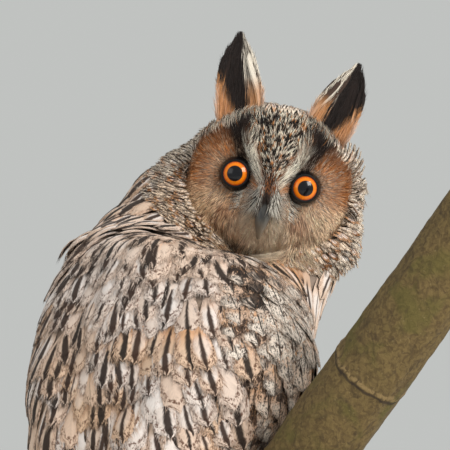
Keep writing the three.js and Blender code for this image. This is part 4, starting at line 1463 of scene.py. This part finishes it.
def face_lie(points, normals):
    """The way the head's feathers point: out from the eyes, and from the bill's root between."""
    x, y, z = to_head(points).T
    hand = np.where(x < 0, -1.0, 1.0)
    from_eye = unit(np.stack([x - hand * EYE_X, 0 * x, z], -1))
    from_bill = unit(np.stack([x * 1.1, 0 * x, z + 7], -1))
    way = mixed(from_eye, from_bill, smooth(abs(x), 14, 8)[:, None])
    out = np.hypot(x / FACE_WIDTH, z / FACE_TOP)
    way[:, 1] += 0.5 * smooth(out, 0.85, 1.1)
    centred = unit(np.stack([x, 0 * x + 30, z], -1))
    way = mixed(way, centred, smooth(y, -8, 8)[:, None])
    hanging = smooth(z, -12, -32) * smooth(y, -18, -2)
    way = mixed(way, np.array([0.1, 0.1, -1.0]), hanging[:, None])
    return flattened(way @ HEAD_AXES, normals)


def clumped(points, share):
    """A chance for each point that its neighbours share, so that colours fall in specks."""
    centres = points[rng.random(len(points)) < share]
    tree = KDTree(len(centres))
    for index, centre in enumerate(centres.tolist()):
        tree.insert(centre, index)
    tree.balance()
    chance = rng.random(len(centres))
    return chance[[tree.find(point)[1] for point in points.tolist()]]


def strands(name, roots, lie, lengths, rise, width, colour_at, specks, stray=0.12):
    """Fine barbs that stand free, each following the lie of the feathers round it. The fewer
    the specks, as a share of the barbs, the larger they are."""
    paths = Paths(roots, lie, lengths, 2, rise, 0.5 * MM, stray, 1.0)
    span = np.linalg.norm(paths.lines[:, 2] - paths.lines[:, 0], axis=-1)
    kept = span < 1.25 * lengths + 0.5 * MM
    lines, outs, roots = paths.lines[kept], paths.outs[kept, 0], roots[kept]
    shine = rng.normal(1, 0.13, (len(roots), 1))
    chance = clumped(roots, specks)
    base = np.clip(colour_at(lines[:, 0], chance) * shine, 0, 1)
    # The root is darker and the tip a little lighter: painted shade down in the coat, and painted light on
    # the free tips.
    tip = np.clip(colour_at(lines[:, 2], chance) * shine * 1.1, 0, 1)
    tones = np.stack([base * 0.75, mixed(base, tip, 0.5), tip], 1)
    barbs(name, lines, outs, width, tones, roots)


HEAD_REACH = 60


def near_head(points):
    return np.linalg.norm(to_head(points), axis=-1) < HEAD_REACH


def face_zone(points):
    x, y, z = to_head(points).T
    eye = np.hypot(abs(x) - EYE_X, z)
    front = (face_out(x, z) < 0.95) & (y < rim_front(z) + 3) & (eye > 7.0) & near_head(points)
    return front * (1 + 0.6 * smooth(abs(x), 14, 9))


FACE_SIDES = (("left", 1), ("right", -1))
all_roots = sow(0.68 * MM, face_zone, even=False)
for side_name, side in FACE_SIDES:
    roots = all_roots[to_head(all_roots)[:, 0] * side > 0]
    x, y, z = to_head(roots).T
    from_eye = np.hypot(abs(x) - EYE_X, z)
    short = smooth(abs(x), brow_line(z) - 2, brow_line(z) - 4) * smooth(z, -2, 5)
    out = face_out(x, z)
    beard = smooth(z, -18, -30) * smooth(out, 0.6, 0.85)
    lengths = (3.4 + 3.8 * smooth(from_eye, 8, 18)) * (1 - 0.64 * short) * (1 + 0.8 * beard)
    lengths = lengths * MM * rng.uniform(0.75, 1.25, len(roots))
    at_edge = smooth(out, 0.78, 0.9) * smooth(z, 28, 16)
    rise = rng.uniform(0.8, 2.2, len(roots)) * (1 + 0.6 * smooth(abs(abs(x) - brow_line(z)), 5, 2))
    rise = (rise + 2.2 * at_edge) * MM
    strands(f"{side_name}_face_filaments", roots, face_lie, lengths, rise, 0.19 * MM, face_colour, 0.3)


front_tree = solid_tree("bill_upper", "bill_lower")
TOWARD_BACK = Vector(from_head([0, 1, 0]) - from_head([0, 0, 0])).normalized()


def front_of(x, z):
    """How far forward the bill or, beside it, the skin stands at places on the face."""
    starts = from_head(np.stack([x, np.full_like(x, -80.0), z], -1))
    depths = []
    for start in starts.tolist():
        hits = [tree.ray_cast(Vector(start), TOWARD_BACK)[3] for tree in (front_tree, skin_tree)]
        depths.append(min((hit for hit in hits if hit is not None), default=np.nan))
    return np.array(depths) / MM - 80


BRISTLES = 2600
TOWARD_CAMERA = np.array([0, -1.0, 0])
hand = rng.choice([-1, 1], BRISTLES)
start_x = rng.uniform(0.1, 10.5, BRISTLES)
start_z = rng.uniform(-12, 5, BRISTLES) - 0.3 * start_x
start_z += smooth(start_x, 4, 1) * 4
long = rng.uniform(6, 12, BRISTLES) * (0.5 + 0.5 * smooth(start_x, 1.2, 4))
swing = np.radians(2 + 9 * np.maximum(start_x - 2.6, 0) + rng.normal(0, 9, BRISTLES))
rows = []
for part, lift in ((0, -0.3), (0.5, 1.0), (1, 0.7)):
    x = hand * (start_x + long * part * np.sin(swing))
    z = start_z - long * part * np.cos(swing)
    y = front_of(x, z) - lift * rng.uniform(0.6, 1.6, BRISTLES)
    rows.append(np.stack([x, y, z], -1))
rows = np.stack(rows, 1)
rows[:, 1, 1] = np.minimum(rows[:, 1, 1], (rows[:, 0, 1] + rows[:, 2, 1]) / 2)
dark = np.clip(smooth(start_x, 3.8, 1.4) + (rng.random(BRISTLES) < 0.36), 0, 1)
rust = (rng.random(BRISTLES) < 0.4) * smooth(start_x, 4.5, 3) * smooth(start_z, -5, -2)
tones = layered(paint(232, 226, 214), (paint(54, 42, 36), dark), (paint(158, 98, 58), rust))
tones = tones * rng.normal(1, 0.12, (BRISTLES, 1))
# Each bristle darker toward its root: painted shade where it leaves the face.
tones = np.stack([tones * 0.6, tones * 0.9, tones], 1)
lines = from_head(rows)
barbs("bill_bristles", lines, TOWARD_CAMERA, 0.18 * MM, tones, lines[:, 0])

# Rim, crown and back of the head. Small stiff speckled feathers edge the face under a fine
# speckled down, and small streaked ones cover the rest of the head.
TUFT_ROOT = np.array([23.5, -8, 32])


def on_rim(points, least_out, most_back):
    """Where the head's edge is, from a share out on the face to a depth behind it."""
    x, y, z = to_head(points).T
    out = face_out(x, z)
    behind = (y > mixed(rim_front(z), -30, smooth(z, 12, 26))) | ((out > 0.94) & (z > -40))
    return (out > least_out) & behind & (y < most_back) & near_head(points)


def rim_zone(points):
    x, _, z = to_head(points).T
    under_tuft = (abs(abs(x) - TUFT_ROOT[0]) < 9) & (z > 26)
    return on_rim(points, 0.885, 10) & ~under_tuft


def rim_down_zone(points):
    return on_rim(points, 0.88, 18)


def head_back_zone(points):
    _, y, z = to_head(points).T
    near = np.linalg.norm(to_head(points) / [48, 54, 48], axis=-1) < 1.05
    return near & (y > 4) & (z > -32)


def head_vanes(name, roots, lengths, halves, rise, streak, bars, per_feather):
    count = len(roots)
    paths = Paths(roots, face_lie, lengths, 4, rise + 0.85 * loft(roots, 1.0), 0.6 * MM, 0.15, 0.5)
    piece, seeds = vanes(f"{name}_vanes", paths, halves, 0.25 * MM, 0.3 * MM, 0.35 * MM)
    pale = np.where((seeds > 0.75)[:, None], BUFF, RIM_PALE)
    ground = mixed(face_colour(paths.lines[:, 3], np.full(count, 0.7)), pale, 0.6)
    pale_side = smooth(to_head(roots)[:, 0], 10, 30) * smooth(to_head(roots)[:, 1], 12, 2)
    streaks = streak * rng.uniform(0.6, 1.4, count) * (1 - 0.6 * pale_side)
    marks = (streaks, np.full(count, bars), np.full(count, 0.9))
    grounds = (ground, 0 * seeds)
    sizes = (2.0 * MM, 0.12 * MM)
    dress_plumes(name, piece, paths, halves, per_feather, grounds, 0.3 * seeds, marks, *sizes)


roots = sow(2.5 * MM, rim_zone)
size = rng.uniform(0.75, 1.2, len(roots))
head_vanes("rim", roots, 6 * MM * size, 1.5 * MM * size, 2.0 * MM * size, 0.3, 0.9, 26)
roots = sow(3.0 * MM, head_back_zone)
size = rng.uniform(0.8, 1.2, len(roots))
head_vanes("head_back", roots, 9.5 * MM * size, 2.3 * MM * size, 2.6 * MM, 0.28, 0.8, 36)
roots = sow(0.86 * MM, rim_down_zone, even=False)
lengths = rng.uniform(3.2, 5.6, len(roots)) * MM
rise = rng.uniform(1.4, 3.0, len(roots)) * MM + loft(roots, 1.0)
strands("rim_down", roots, face_lie, lengths, rise, 0.22 * MM, face_colour, 0.22, 0.2)

# Ear tufts. Broad black-brown feathers stand in a shallow cup on the brow, paler and buff along
# their edges, with soft barbs over them and a fringe of pale ones.
TUFT_COUNT = 17
TUFT_WIDTH = 12.2
TUFT_TIPS = {1: np.array([33.5, -7, 71]), -1: np.array([-31.5, -7, 74.5])}


def tuft_point(side, spread, share, depth):
    """A place on a tuft, -1 at its outer edge to 1 at its inner one, 0 at its root to 1 at its tip."""
    root = TUFT_ROOT * [side, 1, 1]
    along = TUFT_TIPS[side] - root
    across = np.array([-along[2], 0, along[0]]) / np.hypot(along[0], along[2]) * side
    half = TUFT_WIDTH * (1 - np.clip(share, 0, 0.95) ** 2.2) ** 0.58
    half = half * (1 - 0.22 * smooth(share, 0.25, 0.7) * (spread > 0))
    cup = -4.5 * spread**2 * half / TUFT_WIDTH + 2 * share**2 + depth
    spread, share, half, cup = (np.asarray(value)[..., None] for value in (spread, share, half, cup))
    return root + along * share + across * spread * half + np.array([0, 1.0, 0]) * cup


TUFT_BUFF = paint(206, 142, 84)


def tuft_colour(spread, share, chance):
    """Black-brown in the middle, buff at the base and outside, pale and speckled inside."""
    drift = spread + 0.25 * (chance - 0.5)
    base = smooth(share, 0.5, 0.25)
    pale = np.where((chance * 7 % 1 < 0.28)[:, None], paint(74, 58, 50), paint(236, 226, 210))
    fringe = smooth(abs(spread), 0.85, 1.0) * smooth(share, 0.4, 0.2)
    return layered(
        paint(38, 29, 26),
        (layered(pale, (TUFT_BUFF, base * 0.85)), smooth(drift, 0.3, 0.46)),
        (layered(TUFT_BUFF, (SNOW, chance * 0.2)), smooth(drift, -0.1 - 1.8 * share, -0.3 - 1.8 * share)),
        (SNOW, fringe * 0.35),
    )


tuft_look = Look("tuft_feathers", 0.8, Sheen_Weight=0.04, Specular_IOR_Level=0.2)
across, along, chance = tuft_look.numbers("vane")
barb_grooves = tuft_look.noise(tuft_look.vector(along * 40 - abs(across) * 10, across, chance * 9), 2.0, 2)
# painted shade in the grooves between barbs, where the bump sinks
tuft_look.colour(tuft_look.attribute("tint"), (BLACK, barb_grooves.smooth(0.55, 0.3) * 0.35))
tuft_look.bump(barb_grooves, 0.0003, 0.6)


def tuft_vanes(side_name, side):
    """The cup of broad feathers that the tuft is made of."""
    spread = np.linspace(-0.94, 0.94, TUFT_COUNT) + rng.uniform(-0.03, 0.03, TUFT_COUNT)
    reach_to = 0.99 - 0.22 * spread**2 + rng.uniform(-0.03, 0.0, TUFT_COUNT)
    share = np.linspace(-0.12, 1, 10)[None] * reach_to[:, None]
    depth = rng.uniform(-0.6, 0.6, TUFT_COUNT)[:, None]
    lines = from_head(tuft_point(side, spread[:, None], share, depth))
    outs = TOWARD_CAMERA + np.array([side, 0, 0]) * (-0.5 * spread[:, None, None])
    paths = Paths.through(lines, unit(np.broadcast_to(outs, lines.shape)))
    halves = np.full(TUFT_COUNT, 2.6 * MM)
    tuft, seeds = vanes(f"{side_name}_tuft_vanes", paths, halves, 0.3 * MM, 0.4 * MM, 0.4 * MM)
    marks = (over_vanes(tuft, values) for values in (spread, share.ravel(), seeds))
    keep_colour(tuft, "tint", tuft_colour(*marks))
    finish(tuft, tuft_look)
    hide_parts(f"{side_name}_ear_tuft")


TUFT_BARBS = 3200


def tuft_barbs(side_name, side):
    """Loose barbs over the tuft, which stand out from its edges as a fringe."""
    count = TUFT_BARBS
    spread = rng.uniform(-1.0, 1.0, count)
    start = rng.uniform(-0.1, 0.9, count) * (1 - 0.2 * spread**2)
    long = rng.uniform(0.13, 0.24, count)
    fringe = smooth(abs(spread), 0.8, 1.0) * smooth(start, 0.8, 0.5)
    rows, tones = [], []
    chance = rng.random(count)
    shine = rng.normal(1, 0.13, (count, 1))
    lift = rng.uniform(0.6, 1.6, count)
    for part in (0, 0.5, 1):
        share = start + long * part
        point = tuft_point(side, spread, np.clip(share, -0.2, 1.03), -lift * (0.5 + 0.5 * part))
        point[:, 0] -= side * np.sign(spread) * fringe * part**1.5 * rng.uniform(0.5, 3.5, count)
        rows.append(point)
        tones.append(tuft_colour(spread, np.clip(share, 0, 1), chance) * shine)
    lines = from_head(np.stack(rows, 1))
    tones = np.stack(tones, 1)
    barbs(f"{side_name}_tuft_barbs", lines, TOWARD_CAMERA, 0.2 * MM, tones, lines[:, 0])


for side_name, side in FACE_SIDES:
    tuft_vanes(side_name, side)
    tuft_barbs(side_name, side)


def tuft_foot_zone(points):
    x, y, z = to_head(points).T
    return (np.hypot(abs(x) - TUFT_ROOT[0] + 1, z - 34) < 14) & (abs(y + 8) < 16)


def tuft_foot_lie(points, normals):
    aside = 0.25 * np.sign(to_head(points)[:, 0])
    return flattened(np.stack([aside, 0 * aside - 0.1, 0 * aside + 1.0], -1) @ HEAD_AXES, normals)


roots = sow(0.9 * MM, tuft_foot_zone, even=False)
lengths = rng.uniform(6, 10, len(roots)) * MM
rise = rng.uniform(1.5, 5.0, len(roots)) * MM
strands("tuft_foot", roots, tuft_foot_lie, lengths, rise, 0.2 * MM, face_colour, 0.5, 0.25)

# Eyes. Domes of glass with an orange iris, darker at its rim and flecked, and a blue-black
# pupil, in black leathery lids.
EYE_RADIUS = 9.6
EYE_BACK = 5.28
IRIS = 6.2
PUPIL = 4.15
LID = 6.9
LID_THICKNESS = 0.62
EYE_HEIGHT = 0.8
EYE_FORWARD = -18.5
EYE_SPLAY = math.radians(9)

eye_look = Look("eye_glass", 0.2, Specular_IOR_Level=0.2, Coat_Weight=0.35, Coat_Roughness=0.05)
x, y, z = eye_look.numbers("eye")
from_axis = (x * x + z * z).calc("SQRT")
eased_out = from_axis + 0.3
rays = eye_look.noise(eye_look.vector(x / eased_out, z / eased_out, from_axis * 0.08), 9, 3)
eye_look.colour(
    paint(240, 128, 10),
    (paint(200, 82, 4), from_axis.smooth(IRIS - 1.0, IRIS - 0.1)),
    (paint(250, 156, 26), rays.smooth(0.5, 0.7) * 0.35),
    (paint(18, 16, 18), from_axis.smooth(IRIS - 0.2, IRIS + 0.35)),
    (paint(10, 12, 18), from_axis.smooth(PUPIL + 0.25, PUPIL - 0.15)),
)

lid_look = Look("eyelid", 0.55, Specular_IOR_Level=0.25)
lid_look.colour(paint(12, 10, 10))
lid_look.bump(lid_look.noise(lid_look.place(), 1600, 3), 0.0002)


def about_eye(side, points):
    """From the eye's own space, where y runs away along its axis, to the world."""
    cosine, sine = math.cos(EYE_SPLAY * side), math.sin(EYE_SPLAY * side)
    x, y, z = np.asarray(points).T
    turned = np.stack([x * cosine - y * sine, x * sine + y * cosine, z], -1)
    return from_head(turned + [side * EYE_X, EYE_FORWARD, EYE_HEIGHT])


for side_name, side in FACE_SIDES:
    bpy.ops.mesh.primitive_uv_sphere_add(segments=96, ring_count=64, radius=EYE_RADIUS)
    eye = bpy.context.object
    eye.name = f"{side_name}_eye_glass"
    own = points_of(eye)[:, [0, 2, 1]] * [1, -1, 1] + [0, EYE_BACK, 0]
    keep_vector(eye, "eye", own)
    move_points(eye, about_eye(side, own))
    finish(eye, eye_look)
    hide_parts(f"{side_name}_eye")
    bpy.ops.mesh.primitive_torus_add(
        major_segments=96, minor_segments=16, major_radius=LID, minor_radius=LID_THICKNESS
    )
    lid = bpy.context.object
    lid.name = f"{side_name}_lids"
    own = points_of(lid)
    angle = np.arctan2(own[:, 1], own[:, 0])
    flat = np.hypot(own[:, 0], own[:, 1])
    wide = LID + (flat - LID) * 1.15
    seat = EYE_BACK - math.sqrt(EYE_RADIUS**2 - LID**2)
    own = np.stack([wide * np.cos(angle), seat - own[:, 2] * 0.8 - 0.15, wide * np.sin(angle)], -1)
    move_points(lid, about_eye(side, own))
    finish(lid, lid_look)

# Bill and claws. Smooth dark horn, paler and worn toward the bill's tip. The bill stands out of
# the middle of the face and a claw ends each toe.
horn_look = Look("bill_horn", 0.38, Coat_Weight=0.15)
fine = horn_look.noise(horn_look.stretched(horn_look.place(), (1, 1, 0.3)), 420, 3)
height = horn_look.parts(horn_look.place())[2]
horn_look.colour(
    paint(44, 44, 43),
    (paint(80, 78, 73), fine.smooth(0.35, 0.7)),
    (paint(142, 126, 106), height.smooth(0.265, 0.254) * 0.65),
)
horn_look.bump(fine, 0.0002, 0.4)
claw_look = Look("claw_horn", 0.35, Coat_Weight=0.2)
claw_look.colour(paint(26, 24, 24))
claw_look.bump(claw_look.noise(claw_look.place(), 500, 2), 0.0001, 0.4)


def rounded_copy(name, look):
    """A smooth, finely divided copy of a node, in its place."""
    piece = copy_of(name, f"{name}_smooth")
    apply_modifier(piece, "SUBSURF", levels=2, render_levels=2)
    finish(piece, look)
    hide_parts(name)


for name in ("bill_upper", "bill_lower"):
    rounded_copy(name, horn_look)
for side_name in ("left", "right"):
    for number in (1, 2, 3, 4):
        rounded_copy(f"{side_name}_claw_{number}", claw_look)

# Legs and feet. Short buff down grows from their skin as far as the claws and lies downward
# over it.


def leg_zone(points):
    place, turn = body_places(points)
    low = smooth(points[:, 2], 150 * MM, 125 * MM)
    front = (points[:, 2] < 145 * MM) & (place > -110) & (abs(turn) > 90)
    return low * front


def leg_lie(points, normals):
    return flattened(np.broadcast_to([0.05, -0.25, -1.0], points.shape), normals)


def leg_colour(points, chance):
    return layered(paint(196, 158, 116), (paint(226, 206, 176), chance))


roots = sow(2.1 * MM, leg_zone, even=False)
lengths = rng.uniform(4, 7, len(roots)) * MM
strands("leg_down", roots, leg_lie, lengths, 1.2 * MM, 0.34 * MM, leg_colour, 1.0, 0.2)

# The skin's colour is a painted shade: the plumage's ground colour above it, darkened, shows
# only between the feathers. The skin takes the place of the solids that it was drawn from.
skin_shade_look = Look("skin", 0.85)
skin_shade_look.colour(skin_shade_look.attribute("tint"))
skin_shade_look.bump(skin_shade_look.noise(skin_shade_look.place(), 900, 3), 0.0004)
# painted shade: the plumage's ground colour at 0.45 of its brightness
keep_colour(skin, "tint", body_ground(skin_points)[0] * 0.45)
finish(skin, skin_shade_look)
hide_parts("torso", "neck", "head", "left_leg", "right_leg", "left_foot", "right_foot")
